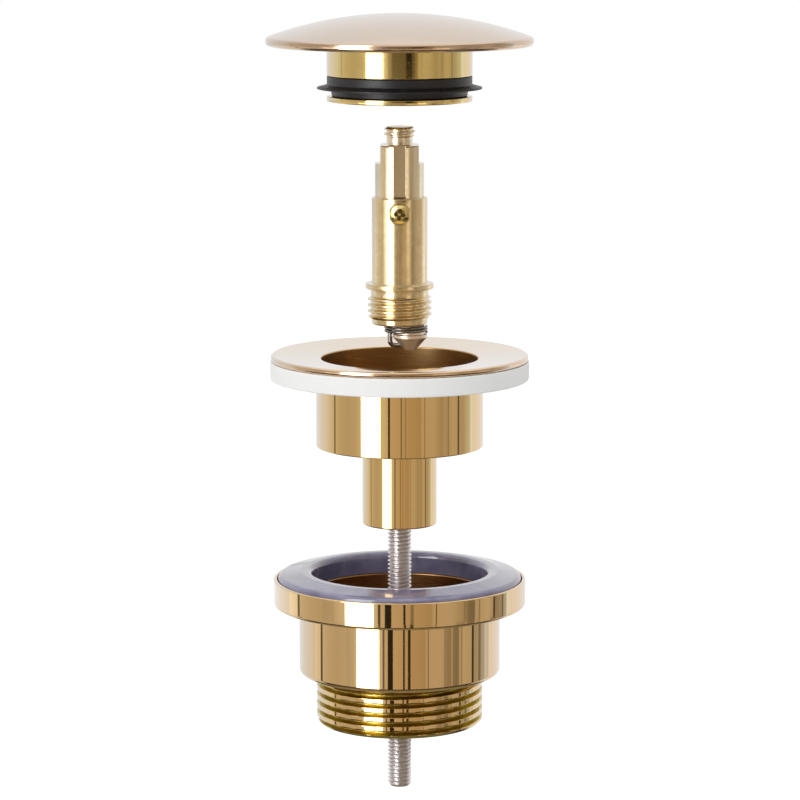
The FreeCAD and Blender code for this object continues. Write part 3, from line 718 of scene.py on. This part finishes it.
# The table and the floor under the object, and the light of the room
FLOOR_HEIGHT = -0.45
FLOOR_GLOW = 0.5
TABLE_HEIGHT = FLOOR_HEIGHT + 0.01
TABLE_RADIUS = 0.68
TABLE_FADE = (0.36, 0.46)
TABLE_MIDDLE = (0.24, 0.22, 0.15)
TABLE_RIM = (0.12, 0.10, 0.08)
ROOM_FILL = 0.66


def between(tree, source, lowest, highest):
    """1 where a value lies between two others, and 0 elsewhere."""
    middle = (lowest + highest) / 2
    half = (highest - lowest) / 2
    return calculate(tree, "COMPARE", source, middle, half)


def stands_and_boards(tree, angle, height):
    """The share of the wall's light that the stands leave, by direction and height."""
    level = 1.0
    for (bottom, top), stands in STANDS.items():
        change = 0.0
        for start, stop, step in stands:
            here = between(tree, angle, math.radians(start), math.radians(stop))
            change = add_product(tree, here, step, change)
        level = add_product(tree, between(tree, height, bottom, top), change, level)
    return level


def softbox_mask(tree, angle, height):
    """1 on the softboxes."""
    mask = 0.0
    for start, stop, bottom, top in SOFTBOXES:
        across = between(tree, angle, math.radians(start), math.radians(stop))
        mask = add_product(tree, across, between(tree, height, bottom, top), mask)
    return mask


def mirrored_only(backdrop):
    """Let only the polished surfaces see a backdrop."""
    backdrop.visible_camera = False
    backdrop.visible_diffuse = False
    backdrop.visible_shadow = False
    backdrop.visible_transmission = False


def new_glow(name):
    """An empty material that gives off light, with its node tree and its emission."""
    material = bpy.data.materials.new(name)
    material.use_nodes = True
    tree = material.node_tree
    tree.nodes.clear()
    glow = tree.nodes.new("ShaderNodeEmission")
    out = tree.nodes.new("ShaderNodeOutputMaterial")
    tree.links.new(glow.outputs[0], out.inputs[0])
    return material, tree, glow


def make_studio_wall():
    """A round wall that only the polished surfaces see, bright and dark by its direction from the object."""
    bpy.ops.object.select_all(action="DESELECT")
    bpy.ops.mesh.primitive_cylinder_add(
        vertices=128, radius=STUDIO_RADIUS, depth=STUDIO_HEIGHT, end_fill_type="NOTHING"
    )
    wall = bpy.context.object
    wall.name = "studio_wall"
    material, tree, glow = new_glow("studio_wall")
    place = add_node(tree, "ShaderNodeTexCoord")
    parts = add_node(tree, "ShaderNodeSeparateXYZ", i0=place.outputs["Object"])
    height = parts.outputs[2]
    back = calculate(tree, "MULTIPLY", parts.outputs[1], -1.0)
    angle = calculate(tree, "ARCTAN2", parts.outputs[0], back)
    ramp = add_node(tree, "ShaderNodeValToRGB", Fac=fade(tree, angle, -math.pi, math.pi))
    stops = ramp.color_ramp.elements
    while len(stops) < len(ROOM):
        stops.new(0.5)
    for stop, (degrees, level, warmth) in zip(stops, ROOM):
        stop.position = (degrees + 180) / 360
        stop.color = (*(level * (1 - warmth * loss) for loss in WARM_LOSS), 1)
    white = (SOFTBOX_LEVEL, SOFTBOX_LEVEL, SOFTBOX_LEVEL, 1)
    colour = mix_colour(tree, softbox_mask(tree, angle, height), ramp.outputs[0], white)
    tree.links.new(colour, glow.inputs["Color"])
    tree.links.new(stands_and_boards(tree, angle, height), glow.inputs["Strength"])
    wall.data.materials.append(material)
    mirrored_only(wall)


def make_dark_table():
    """The table under the object as the polished surfaces see it, darker towards its rim."""
    bpy.ops.object.select_all(action="DESELECT")
    bpy.ops.mesh.primitive_circle_add(
        vertices=96, radius=TABLE_RADIUS, location=(0, 0, TABLE_HEIGHT), fill_type="NGON"
    )
    table = bpy.context.object
    table.name = "dark_table"
    material, tree, glow = new_glow("dark_cloth")
    place = add_node(tree, "ShaderNodeTexCoord")
    away = add_node(tree, "ShaderNodeVectorMath", {"operation": "LENGTH"}, i0=place.outputs["Object"])
    rim = fade(tree, away.outputs["Value"], *TABLE_FADE)
    colour = mix_colour(tree, rim, (*TABLE_MIDDLE, 1), (*TABLE_RIM, 1))
    tree.links.new(colour, glow.inputs["Color"])
    table.data.materials.append(material)
    mirrored_only(table)


def make_floor():
    """The pale floor, which the camera and the polished surfaces see a little brighter."""
    bpy.ops.object.select_all(action="DESELECT")
    bpy.ops.mesh.primitive_plane_add(size=12, location=(0, 0, FLOOR_HEIGHT))
    floor = bpy.context.object
    floor.name = "floor"
    material = bpy.data.materials.new("pale_floor")
    material.use_nodes = True
    tree = material.node_tree
    surface = tree.nodes["Principled BSDF"]
    surface.inputs["Roughness"].default_value = 0.8
    grain = add_node(tree, "ShaderNodeTexNoise", Scale=40.0)
    colour = mix_colour(tree, grain.outputs[0], (0.86, 0.86, 0.86, 1), (0.9, 0.9, 0.9, 1))
    tree.links.new(colour, surface.inputs["Base Color"])
    seen = tree.nodes.new("ShaderNodeLightPath")
    both = calculate(tree, "MAXIMUM", seen.outputs["Is Camera Ray"], seen.outputs["Is Glossy Ray"])
    surface.inputs["Emission Color"].default_value = (1, 1, 1, 1)
    tree.links.new(calculate(tree, "MULTIPLY", both, FLOOR_GLOW), surface.inputs["Emission Strength"])
    floor.data.materials.append(material)


def make_world():
    """White for what the camera and the mirrors see, and an even soft light for the rest."""
    world = bpy.data.worlds.new("studio")
    bpy.context.scene.world = world
    world.use_nodes = True
    tree = world.node_tree
    background = tree.nodes["Background"]
    seen = tree.nodes.new("ShaderNodeLightPath")
    both = calculate(tree, "MAXIMUM", seen.outputs["Is Camera Ray"], seen.outputs["Is Glossy Ray"])
    clear = calculate(tree, "MAXIMUM", both, seen.outputs["Is Transmission Ray"])
    background.inputs["Color"].default_value = (1, 1, 1, 1)
    tree.links.new(fade(tree, clear, 0.0, 1.0, lowest=ROOM_FILL), background.inputs["Strength"])


make_camera()
make_world()
make_floor()
make_studio_wall()
make_dark_table()
make_lamp("left_softbox", (-0.75, -0.75, 0.45), (0.5, 1.0), 4.0)
make_lamp("top_softbox", (0.1, -0.2, 0.95), (0.8, 0.8), 2.5)
bpy.context.scene.view_settings.view_transform = "Standard"


# Materials

GOLD = make_material(
    "polished_gold", (0.90, 0.66, 0.31), (0.88, 0.63, 0.28), (0.02, 0.045),
    rings=3.0, waver=0.3, bump=0.03, bump_mm=0.01, size=14.0,
    grazing=(0.86, 0.78, 0.73), inside=(0.57, 0.38, 0.17),
)
TAIL_GOLD = make_material(
    "rosy_gold", (0.90, 0.665, 0.345), (0.88, 0.635, 0.31), (0.02, 0.045),
    rings=3.0, waver=0.3, bump=0.03, bump_mm=0.01, size=14.0,
    grazing=(0.84, 0.765, 0.74), inside=(0.46, 0.26, 0.11),
)
NECK_GOLD = make_material(
    "brushed_gold", (0.90, 0.72, 0.31), (0.86, 0.68, 0.27), (0.05, 0.12),
    rings=5.0, waver=0.6, bump=0.12, bump_mm=0.02, size=4.0, blotch=0.8,
    grazing=(0.81, 0.71, 0.64), inside=(0.66, 0.48, 0.21),
)
# A darker gold for the thread's roots and the relief: painted shade.
ROOT_SHADE_GOLD = make_material(
    "root_shade_gold", (0.61, 0.495, 0.17), (0.47, 0.375, 0.11), (0.12, 0.2),
    rings=4.0, waver=0.5, bump=0.1, bump_mm=0.02, size=4.0, blotch=0.8,
)
# The polished rims: the polish is real, and their paler pink colour is a painted reflection.
RIM_GOLD = make_material(
    "rim_gold", (0.82, 0.62, 0.43), (0.80, 0.58, 0.38), (0.03, 0.06),
    rings=3.0, waver=0.3, bump=0.03, bump_mm=0.01, size=12.0,
    grazing=(0.86, 0.80, 0.76),
)
DOME_GOLD = make_material(
    "satin_gold", (0.71, 0.55, 0.41), (0.69, 0.53, 0.39), (0.12, 0.17),
    rings=4.0, waver=0.3, bump=0.05, bump_mm=0.01, size=18.0,
    grazing=(0.775, 0.69, 0.63),
)
BRASS = make_material(
    "machined_brass", (0.84, 0.705, 0.44), (0.76, 0.615, 0.35), (0.12, 0.24),
    rings=7.0, waver=0.8, bump=0.35, bump_mm=0.025, size=2.0, blotch=0.8,
    grazing=(0.84, 0.78, 0.70), inside=(0.5, 0.38, 0.18),
)
PALE_BRASS = make_material(
    "turned_brass", (0.88, 0.79, 0.58), (0.84, 0.72, 0.50), (0.12, 0.22),
    rings=5.0, waver=0.4, bump=0.3, bump_mm=0.025, size=3.0, blotch=0.7,
    grazing=(0.80, 0.72, 0.64), inside=(0.5, 0.38, 0.18),
)
ROSE_BRASS = make_material(
    "rose_brass", (0.99, 0.87, 0.74), (0.95, 0.80, 0.65), (0.36, 0.48),
    rings=6.0, waver=0.4, bump=0.25, bump_mm=0.02, size=3.0, blotch=0.6,
    grazing=(0.84, 0.76, 0.70),
)
SCREW_BRASS = make_material(
    "screw_brass", (0.85, 0.70, 0.30), (0.76, 0.58, 0.22), (0.14, 0.24),
    rings=8.0, bump=0.15, bump_mm=0.02, size=1.5,
)
# A dark brass for the screw's cross recess: painted shade.
RECESS_SHADE_BRASS = make_material(
    "recess_shade_brass", (0.20, 0.145, 0.045), (0.14, 0.10, 0.03), (0.25, 0.35),
    rings=8.0, bump=0.15, bump_mm=0.02, size=1.5,
)
STUD_BRASS = make_material(
    "bright_brass", (0.94, 0.85, 0.68), (0.84, 0.73, 0.54), (0.22, 0.32),
    rings=8.0, bump=0.15, bump_mm=0.02, size=1.5,
)
STAINLESS = make_material(
    "stainless_thread", (0.90, 0.87, 0.88), (0.76, 0.73, 0.74), (0.28, 0.4),
    rings=6.0, bump=0.15, bump_mm=0.02, size=3.0,
)
SPRING_STEEL = make_material(
    "spring_wire", (0.30, 0.29, 0.28), (0.18, 0.17, 0.17), (0.14, 0.26),
    rings=8.0, bump=0.15, bump_mm=0.01, size=1.5,
)
WHITE_FOAM = make_material(
    "white_foam", (0.86, 0.86, 0.845), (0.82, 0.82, 0.81), (0.55, 0.75),
    metallic=0.0, rings=1.2, waver=1.0, bump=0.15, bump_mm=0.05, size=5.0,
)
# Its lighter blotches, towards the second colour, are painted sheen: the whitish streaks that the glossy ring
# mirrors.
VIOLET_SILICONE = make_material(
    "violet_silicone", (0.15, 0.145, 0.26), (0.34, 0.32, 0.45), (0.07, 0.2),
    metallic=0.0, rings=0.6, waver=0.5, bump=0.08, bump_mm=0.05, size=7.0, blotch=0.7,
)
SEE_THROUGH = {
    "Transmission Weight": 0.12, "IOR": 1.55, "Coat Weight": 1.0, "Coat IOR": 1.6, "Coat Roughness": 0.06,
}
for title, level in SEE_THROUGH.items():
    VIOLET_SILICONE.node_tree.nodes["Principled BSDF"].inputs[title].default_value = level
BLACK_RUBBER = make_material(
    "black_rubber", (0.014, 0.014, 0.018), (0.024, 0.024, 0.030), (0.32, 0.46),
    metallic=0.0, rings=2.0, waver=0.6, bump=0.12, bump_mm=0.03, size=4.0,
)


# Pieces

def make_lower_body():
    """Thread, cup, seat flange and the four-armed bridge of the tail."""
    foot = low("lower_body")
    top = high("lower_body")
    seat_r = radius("lower_body")
    thread_top = foot + TAIL_THREAD_LEN - TAIL_RELIEF_LEN
    cup_foot = foot + TAIL_THREAD_LEN
    seat_foot = cup_foot + CUP_LEN
    recess_floor = top - SEAT_RECESS
    rows = [
        (TAIL_BORE_R, foot, 0.25),
        (TAIL_THREAD_R, foot),
        (TAIL_THREAD_R, thread_top),
        (TAIL_RELIEF_R, thread_top + 0.35, 0.2),
        (TAIL_RELIEF_R, cup_foot, 0.25),
        (CUP_R, cup_foot, 1.2),
        (CUP_R, seat_foot, 1.0),
        (seat_r, seat_foot, 0.7),
        (seat_r, top, 0.3),
        (seat_r - SEAT_WALL, top, 0.25),
        (seat_r - SEAT_WALL, recess_floor, 0.3),
        (CUP_BORE_R, recess_floor, 0.4),
        (CUP_BORE_R, cup_foot + CUP_FLOOR, 1.0),
        (TAIL_BORE_R, cup_foot + CUP_FLOOR, 0.4),
    ]
    body = lathe("tail_piece", rows, dense=(TAIL_THREAD_R, foot, thread_top, TAIL_ROWS))
    cut_thread(
        body, TAIL_THREAD_R, foot, thread_top, TAIL_PITCH, TAIL_THREAD_DEPTH, (TAIL_CHAMFER, 0.4),
        start=0.1, crest=0.44, root=0.08,
    )
    bridge_top = foot + BRIDGE_LOW + BRIDGE_THICK
    boss = lathe(
        "boss",
        [
            (ROD_HOLE_R, foot + BRIDGE_LOW, 0.3),
            (BOSS_R, foot + BRIDGE_LOW, 0.5),
            (BOSS_R, bridge_top, 0.5),
            (ROD_HOLE_R, bridge_top, 0.3),
        ],
        steps=SMALL_STEPS,
    )
    for quarter in range(4):
        arm = block(
            "arm",
            ((ROD_HOLE_R + BOSS_R) / 2, -BRIDGE_ARM / 2, foot + BRIDGE_LOW + 0.01),
            ((TAIL_BORE_R + TAIL_RELIEF_R) / 2, BRIDGE_ARM / 2, bridge_top - 0.01),
            soft=0.3,
        )
        boss = boolean(boss, turn_about_axis(arm, 90 * quarter), "UNION")
    body = boolean(body, boss, "UNION")
    finish(body, "tail", ["lower_body"], TAIL_GOLD)
    # Painted shade: the thread below its crests and the relief under the cup take the darker gold.
    root_r = TAIL_THREAD_R - ROOT_SHADE
    relief_r = TAIL_RELIEF_R - SHADE_SPARE
    shade_top = cup_foot - SHADE_SPARE
    return dress(body, ROOT_SHADE_GOLD, lambda x, y, z: z < shade_top and relief_r < math.hypot(x, y) < root_r)


def make_lower_seal():
    foot = low("lower_seal")
    top = high("lower_seal")
    outer = radius("lower_seal")
    rows = [
        (CUP_BORE_R, foot, 0.3),
        (outer, foot, 0.3),
        (outer, foot + SEAL_RISE, 1.5),
        (CUP_BORE_R + SEAL_CROWN, top, 2.0),
        (CUP_BORE_R, top, 1.5),
    ]
    seal = lathe("lower_seal_ring", rows)
    return finish(seal, "tail", ["lower_seal"], VIOLET_SILICONE, sharp=50)


def make_rod():
    """The threaded rod, its thread dense enough to show every crest."""
    foot = low("clamp_rod")
    top = high("clamp_rod")
    across = radius("clamp_rod")
    rows = [(0, foot), (across, foot), (across, top), (0, top)]
    rod = lathe("threaded_rod", rows, steps=40, closed=False, dense=(across, foot, top, ROD_ROWS))
    cut_thread(rod, across, foot, top, ROD_PITCH, ROD_THREAD_DEPTH, (0.7, 0.7), crest=0.18, root=0.15)
    return finish(rod, "flange", ["clamp_rod"], STAINLESS, sharp=60)


def make_upper_flange():
    """Flange and tube, and the sleeve on its four ribs."""
    foot = low("upper_flange")
    top = high("upper_flange")
    rim = radius("upper_flange")
    under = top - FLANGE_EDGE
    tube_foot = foot + TUBE_RISE
    body = lathe(
        "flange_and_tube",
        [
            (TUBE_BORE_R, tube_foot, 0.3),
            (TUBE_R, tube_foot, 0.3),
            (TUBE_R, under, 0.4),
            (rim, under, 0.7),
            (rim, top, RIM_ROUND),
            (TUBE_BORE_R, top - FLANGE_DISH, 0.35),
        ],
    )
    sleeve_top = foot + SLEEVE_LEN
    sleeve = lathe(
        "sleeve",
        [
            (ROD_HOLE_R, foot, 0.3),
            (SLEEVE_R, foot, 0.35),
            (SLEEVE_R, sleeve_top, 0.3),
            (SOCKET_R, sleeve_top, 0.3),
            (SOCKET_R, sleeve_top - SOCKET_DEPTH),
            (SLEEVE_BORE_R, sleeve_top - SOCKET_DEPTH),
            (SLEEVE_BORE_R, foot + SLEEVE_FLOOR, 0.5),
            (ROD_HOLE_R, foot + SLEEVE_FLOOR),
        ],
    )
    for quarter in range(4):
        rib = block(
            "rib",
            ((SLEEVE_R + SOCKET_R) / 2, -RIB_THICK / 2, tube_foot + 0.01),
            ((TUBE_R + TUBE_BORE_R) / 2, RIB_THICK / 2, sleeve_top + RIB_STEP),
        )
        for vertex in rib.data.vertices:
            if vertex.co.x < SLEEVE_R * MM and vertex.co.z > sleeve_top * MM:
                vertex.co.z = (sleeve_top - 0.01) * MM
        body = boolean(body, turn_about_axis(rib, 90 * quarter), "UNION")
    body = boolean(body, sleeve, "UNION")
    finish(body, "flange", ["upper_flange"], GOLD)
    # The rounded rim is really polished, and its paler pink colour is a painted reflection.
    return dress(body, RIM_GOLD, lambda x, y, z: math.hypot(x, y) > rim - RIM_ROUND and z > under - 0.1)


def make_gasket():
    foot = low("flange_gasket")
    top = high("flange_gasket")
    outer = radius("flange_gasket")
    hole = TUBE_R + GASKET_FIT
    ring = lathe(
        "white_gasket",
        [(hole, foot, 0.3), (outer, foot, 0.45), (outer, top, 0.35), (hole, top, 0.2)],
    )
    return finish(ring, "gasket", ["flange_gasket"], WHITE_FOAM, sharp=50)


def make_barrel():
    """The cartridge's tube, with its thread, collar and screw seat."""
    foot = low("barrel")
    top = high("barrel")
    seat = foot + BARREL_DROP
    thread_top = seat - CART_RELIEF_LEN
    thread_low = thread_top - CART_THREAD_LEN
    rows = [
        (BARREL_BORE_R, foot, 0.2),
        (BARREL_R, foot, 0.4),
        (BARREL_R, thread_low, 0.1),
        (CART_THREAD_R, thread_low),
        (CART_THREAD_R, thread_top),
        (CART_RELIEF_R, thread_top, 0.1),
        (CART_RELIEF_R, seat, 0.25),
        (COLLAR_R, seat, 0.2),
        (COLLAR_R, seat + COLLAR_THICK, 0.25),
        (BARREL_R, seat + COLLAR_THICK, 0.2),
        (BARREL_R, top, 0.3),
        (BARREL_BORE_R, top, 0.15),
    ]
    dense = (CART_THREAD_R, thread_low, thread_top, CART_ROWS)
    barrel = lathe("cartridge_barrel", rows, steps=MIDDLE_STEPS, dense=dense)
    cut_thread(
        barrel, CART_THREAD_R, thread_low, thread_top, CART_PITCH, CART_THREAD_DEPTH, (0.6, 0.4),
        start=0.35, crest=0.22,
    )
    screw_seat = rod_between("screw_seat", SCREW_SEAT_R, 0, 2, steps=64)
    screw_seat.rotation_euler = (math.pi / 2, 0, 0)
    shift(screw_seat, depth=-GUIDE_SEAT, up=seat + GUIDE_RISE)
    barrel = boolean(barrel, screw_seat, "DIFFERENCE")
    return finish(barrel, "cartridge", ["barrel"], BRASS)


def cross_reach(angle):
    """How far a cross with four round ends reaches at an angle from the axis."""
    off = abs((angle + math.pi / 4) % (math.pi / 2) - math.pi / 4)
    side = LOBE_PLACE * math.sin(off)
    if side < LOBE_R * 0.98:
        return LOBE_PLACE * math.cos(off) + math.sqrt(LOBE_R**2 - side**2)
    return LOBE_R / math.sin(off)


def cross_cutter(low_end, high_end):
    """Upright prism with the outline of the screw's cross recess."""
    middle = (low_end + high_end) / 2 * MM
    bpy.ops.mesh.primitive_cylinder_add(
        vertices=SMALL_STEPS, radius=1, depth=(high_end - low_end) * MM, location=(0, 0, middle)
    )
    cutter = apply_place(bpy.context.object)
    for corner in cutter.data.vertices:
        angle = math.atan2(corner.co.y, corner.co.x)
        reach = cross_reach(angle - RECESS_TURN) * MM
        corner.co.x = reach * math.cos(angle)
        corner.co.y = reach * math.sin(angle)
    return cutter


def make_guide_screw():
    """Domed head with a cross recess of four round lobes, facing the front."""
    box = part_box("guide_screw")
    length = (box[1].y - box[0].y) / MM
    head_r = radius("guide_screw")
    head_foot = length - SCREW_HEAD_LEN
    rows = [
        (0, 0), (SCREW_SHANK_R, 0, 0.2), (SCREW_SHANK_R, head_foot), (head_r, head_foot, 0.15),
        (head_r, head_foot + SCREW_EDGE, 0.5), (head_r * 0.55, length - 0.12, 0.6), (0, length),
    ]
    screw = lathe("guide_screw_head", rows, steps=SMALL_STEPS, closed=False)
    floor = length - RECESS_DEPTH
    screw = boolean(screw, cross_cutter(floor, length + 0.5), "DIFFERENCE")
    boss = lathe(
        "boss", [(0, floor - 0.3), (0.5, floor - 0.3), (0.4, floor + 0.6, 0.1), (0, floor + 0.6)],
        steps=24, closed=False,
    )
    screw = boolean(screw, boss, "UNION")
    screw.rotation_euler = (math.pi / 2, 0, 0)
    screw.location = (0, box[1].y, (box[0].z + box[1].z) / 2)
    settle(screw)
    finish(screw, "cartridge", ["guide_screw"], SCREW_BRASS)
    front = box[0].y / MM
    middle = (box[0].z + box[1].z) / 2 / MM

    # Painted shade: the walls and floor of the cross recess take the dark brass.
    def in_recess(x, y, z):
        away = math.hypot(x, z - middle)
        return RECESS_START < y - front < RECESS_DEPTH + 0.05 and RECESS_MIDDLE_R < away < LOBE_PLACE + LOBE_R

    return dress(screw, RECESS_SHADE_BRASS, in_recess)


def make_tail_block():
    """Offset stub with its cone, and the disc in the barrel's foot."""
    tip = low("tail_block")
    top = high("tail_block")
    shoulder = tip + CONE_LEN + STUB_SHOULDER
    neck_top = shoulder + STUB_NECK_LEN
    stub = lathe(
        "cone_and_stub",
        [
            (0, tip), (CONE_TIP_R, tip, 0.35), (STUB_R, tip + CONE_LEN, 0.1), (STUB_R, shoulder, 0.15),
            (STUB_NECK_R, shoulder, 0.1), (STUB_NECK_R, neck_top + 0.5), (0, neck_top + 0.5),
        ],
        steps=SMALL_STEPS, closed=False,
    )
    pivot = rod_between("pivot_hole", WIRE_R + PIVOT_FIT, 0, STUB_R + 1, steps=24)
    pivot.rotation_euler = (0, -math.pi / 2, 0)
    shift(pivot, up=tip + PIVOT_RISE)
    stub = boolean(stub, pivot, "DIFFERENCE")
    shift(stub, across=STUB_OFFSET)
    disc_r = BARREL_BORE_R - DISC_FIT
    disc = lathe(
        "disc", [(0, neck_top), (disc_r, neck_top), (disc_r, top, 0.2), (0, top)],
        steps=SMALL_STEPS, closed=False,
    )
    slot = block(
        "wire_slot",
        (-WIRE_REACH - WIRE_SLOT_HALF, -WIRE_SLOT_SIDE, neck_top - 0.2),
        (-WIRE_REACH + WIRE_SLOT_HALF, WIRE_SLOT_SIDE, top + 1),
    )
    disc = boolean(disc, slot, "DIFFERENCE")
    piece = boolean(stub, disc, "UNION")
    return finish(piece, "cartridge", ["tail_block"], ROSE_BRASS)


def make_latch_wire():
    """The bent wire from the cone up to its hook."""
    pivot = low("tail_block") + PIVOT_RISE
    hook = pivot + HOOK_RISE
    corners = [
        (STUB_OFFSET - 2 * WIRE_R, pivot), (-WIRE_REACH, pivot, WIRE_BEND),
        (-WIRE_REACH, hook, WIRE_BEND), (-WIRE_TIP, hook),
    ]
    path = rounded(corners, closed=False)
    curve = bpy.data.curves.new("latch_path", "CURVE")
    curve.dimensions = "3D"
    curve.bevel_depth = WIRE_R * MM
    curve.bevel_resolution = 4
    curve.use_fill_caps = True
    line = curve.splines.new("POLY")
    line.points.add(len(path) - 1)
    for point, place in zip(line.points, path):
        point.co = (place.x * MM, 0, place.y * MM, 1)
    wire = bpy.data.objects.new("latch_hook", curve)
    bpy.context.scene.collection.objects.link(wire)
    only(wire)
    bpy.ops.object.convert(target="MESH")
    wire = settle(bpy.context.object)
    return finish(wire, "latch", ["latch_wire"], SPRING_STEEL, sharp=60)


def make_latch_ring():
    foot = low("latch_ring")
    ring = wire_coil("latch_spring_ring", RING_MEAN_R, RING_WIRE_R, RING_PITCH, 2, foot + RING_WIRE_R)
    shift(ring, across=RING_OFFSET)
    return finish(ring, "cartridge", ["latch_ring"], SPRING_STEEL, sharp=60)


def make_return_spring():
    """The coil spring under the plunger, built at one length; the real one shortens as the plunger goes in.
    """
    foot = high("tail_block")
    top = low("plunger") + STEM_LEN
    space = top - foot
    pitch = (space - 2 * SPRING_WIRE_R - 2 * SPRING_GAP) / SPRING_TURNS
    start = foot + SPRING_WIRE_R + SPRING_GAP
    spring = wire_coil(
        "plunger_spring", SPRING_MEAN_R, SPRING_WIRE_R, pitch, SPRING_TURNS, start, steps=48, sides=10
    )
    finish(spring, "cartridge", ["return_spring"], SPRING_STEEL, sharp=60)
    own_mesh(spring)
    return spring


def make_plunger():
    """Stud, flats, slot and stem of the push rod."""
    foot = low("plunger")
    top = high("plunger")
    shoulder = foot + STEM_LEN + PLUNGER_BODY
    thread_foot = shoulder + STUD_RELIEF_LEN
    rows = [
        (0, foot), (STEM_R, foot, 0.4), (STEM_R, foot + STEM_LEN, 0.2), (PLUNGER_R, foot + STEM_LEN, 0.3),
        (PLUNGER_R, shoulder, 0.45), (STUD_RELIEF_R, shoulder, 0.25), (STUD_RELIEF_R, thread_foot, 0.1),
        (STUD_R, thread_foot), (STUD_R, top), (0, top),
    ]
    dense = (STUD_R, thread_foot, top, STUD_ROWS)
    plunger = lathe("push_rod", rows, steps=MIDDLE_STEPS, closed=False, dense=dense)
    cut_thread(
        plunger, STUD_R, thread_foot, top, STUD_PITCH, STUD_THREAD_DEPTH, (0.5, 0.5), start=0.2, crest=0.25
    )
    for side in (-1, 1):
        inner = side * WRENCH_HALF
        outer = side * (PLUNGER_R + 2)
        cutter = block(
            "flat", (min(inner, outer), -8, shoulder - WRENCH_LEN), (max(inner, outer), 8, shoulder + 0.5)
        )
        plunger = boolean(plunger, cutter, "DIFFERENCE")
    slot_foot = low("guide_screw") + SLOT_RISE
    slot = block(
        "slot",
        (-SLOT_HALF, -PLUNGER_R - 2, slot_foot),
        (SLOT_HALF, SLOT_DEPTH - PLUNGER_R, shoulder + 1),
        soft=0.12,
    )
    plunger = boolean(plunger, slot, "DIFFERENCE")
    flat = block("stem_flat", (-PLUNGER_R - 1, -8, foot - 1), (-STEM_FLAT, 8, foot + STEM_LEN))
    plunger = boolean(plunger, flat, "DIFFERENCE")
    finish(plunger, "plunger", ["plunger"], PALE_BRASS)
    return dress(plunger, STUD_BRASS, lambda x, y, z: z > shoulder + 0.1)


def dome_rows(centre, sphere, inner, outer, count):
    """Points along a sphere between two radii from the axis."""
    rows = []
    for k in range(count + 1):
        across = inner + (outer - inner) * k / count
        rows.append((across, centre + math.sqrt(sphere**2 - across**2)))
    return rows


def make_plug_body():
    """Neck, seal groove, cavity and hub under the cap."""
    foot = low("plug_body")
    under = foot + HUB_RISE
    centre = high("cap_dome") - CAP_SPHERE
    inner_sphere = CAP_SPHERE - CAP_WALL - SHELL_FIT
    crown = dome_rows(centre, inner_sphere, STUD_HOLE_R, NECK_R, 8)
    rows = [
        (NECK_BORE_R, foot, 0.3),
        (NECK_R, foot, 0.25),
        (NECK_R, foot + NECK_LIP, 0.2),
        (GROOVE_R, foot + NECK_LIP, 0.1),
        (GROOVE_R, foot + NECK_LIP + GROOVE_LEN, 0.1),
        (NECK_R, foot + NECK_LIP + GROOVE_LEN, 0.25),
        *reversed(crown),
        (STUD_HOLE_R, under, 0.2),
        (NECK_BORE_R, under, 0.8),
    ]
    return finish(lathe("plug_neck", rows), "cap", ["plug_body"], NECK_GOLD)


def make_plug_seal():
    """Black ring in the groove with its thin upturned lip."""
    foot = low("plug_seal")
    top = high("plug_seal")
    lip_r = radius("plug_seal")
    lip = foot + LIP_RISE
    rows = [
        (GROOVE_R + SEAL_FIT, foot, 0.1),
        (SEAL_FOOT_R - 0.35, foot, 0.25),
        (SEAL_FOOT_R, lip - 0.15, 0.2),
        (lip_r, lip - 0.6, 0.08),
        (lip_r, lip - 0.25, 0.1),
        (SEAL_SIDE_R, lip + 0.4, 0.5),
        (SEAL_SIDE_R, top, 0.25),
        (GROOVE_R + SEAL_FIT, top, 0.1),
    ]
    return finish(lathe("plug_seal_ring", rows), "cap", ["plug_seal"], BLACK_RUBBER, sharp=50)


def make_cap():
    """The domed shell with its rounded rim."""
    foot = low("cap_dome")
    rim = radius("cap_dome")
    centre = high("cap_dome") - CAP_SPHERE
    edge = centre + math.sqrt(CAP_SPHERE**2 - rim**2)
    crown = dome_rows(centre, CAP_SPHERE, 0, rim - CAP_CROWN_END, 36)
    inside = dome_rows(centre, CAP_SPHERE - CAP_WALL, 0, rim - CAP_RIM, 24)
    rows = [
        *inside,
        (rim - CAP_RIM, foot, 0.2),
        (rim, foot, CAP_RIM_ROUND),
        (rim, edge, CAP_EDGE_ROUND),
        *reversed(crown),
    ]
    cap = finish(lathe("domed_cap", rows, closed=False), "cap", ["cap_dome"], DOME_GOLD)
    # The band at the rim's foot is really polished, and its paler pink colour is a painted reflection.
    return dress(cap, RIM_GOLD, lambda x, y, z: z < foot + CAP_POLISH)


make_cap()
make_plug_body()
make_plug_seal()
make_plunger()
make_barrel()
make_guide_screw()
make_tail_block()
make_latch_wire()
make_latch_ring()
make_return_spring()
make_upper_flange()
make_gasket()
make_rod()
make_lower_body()
make_lower_seal()
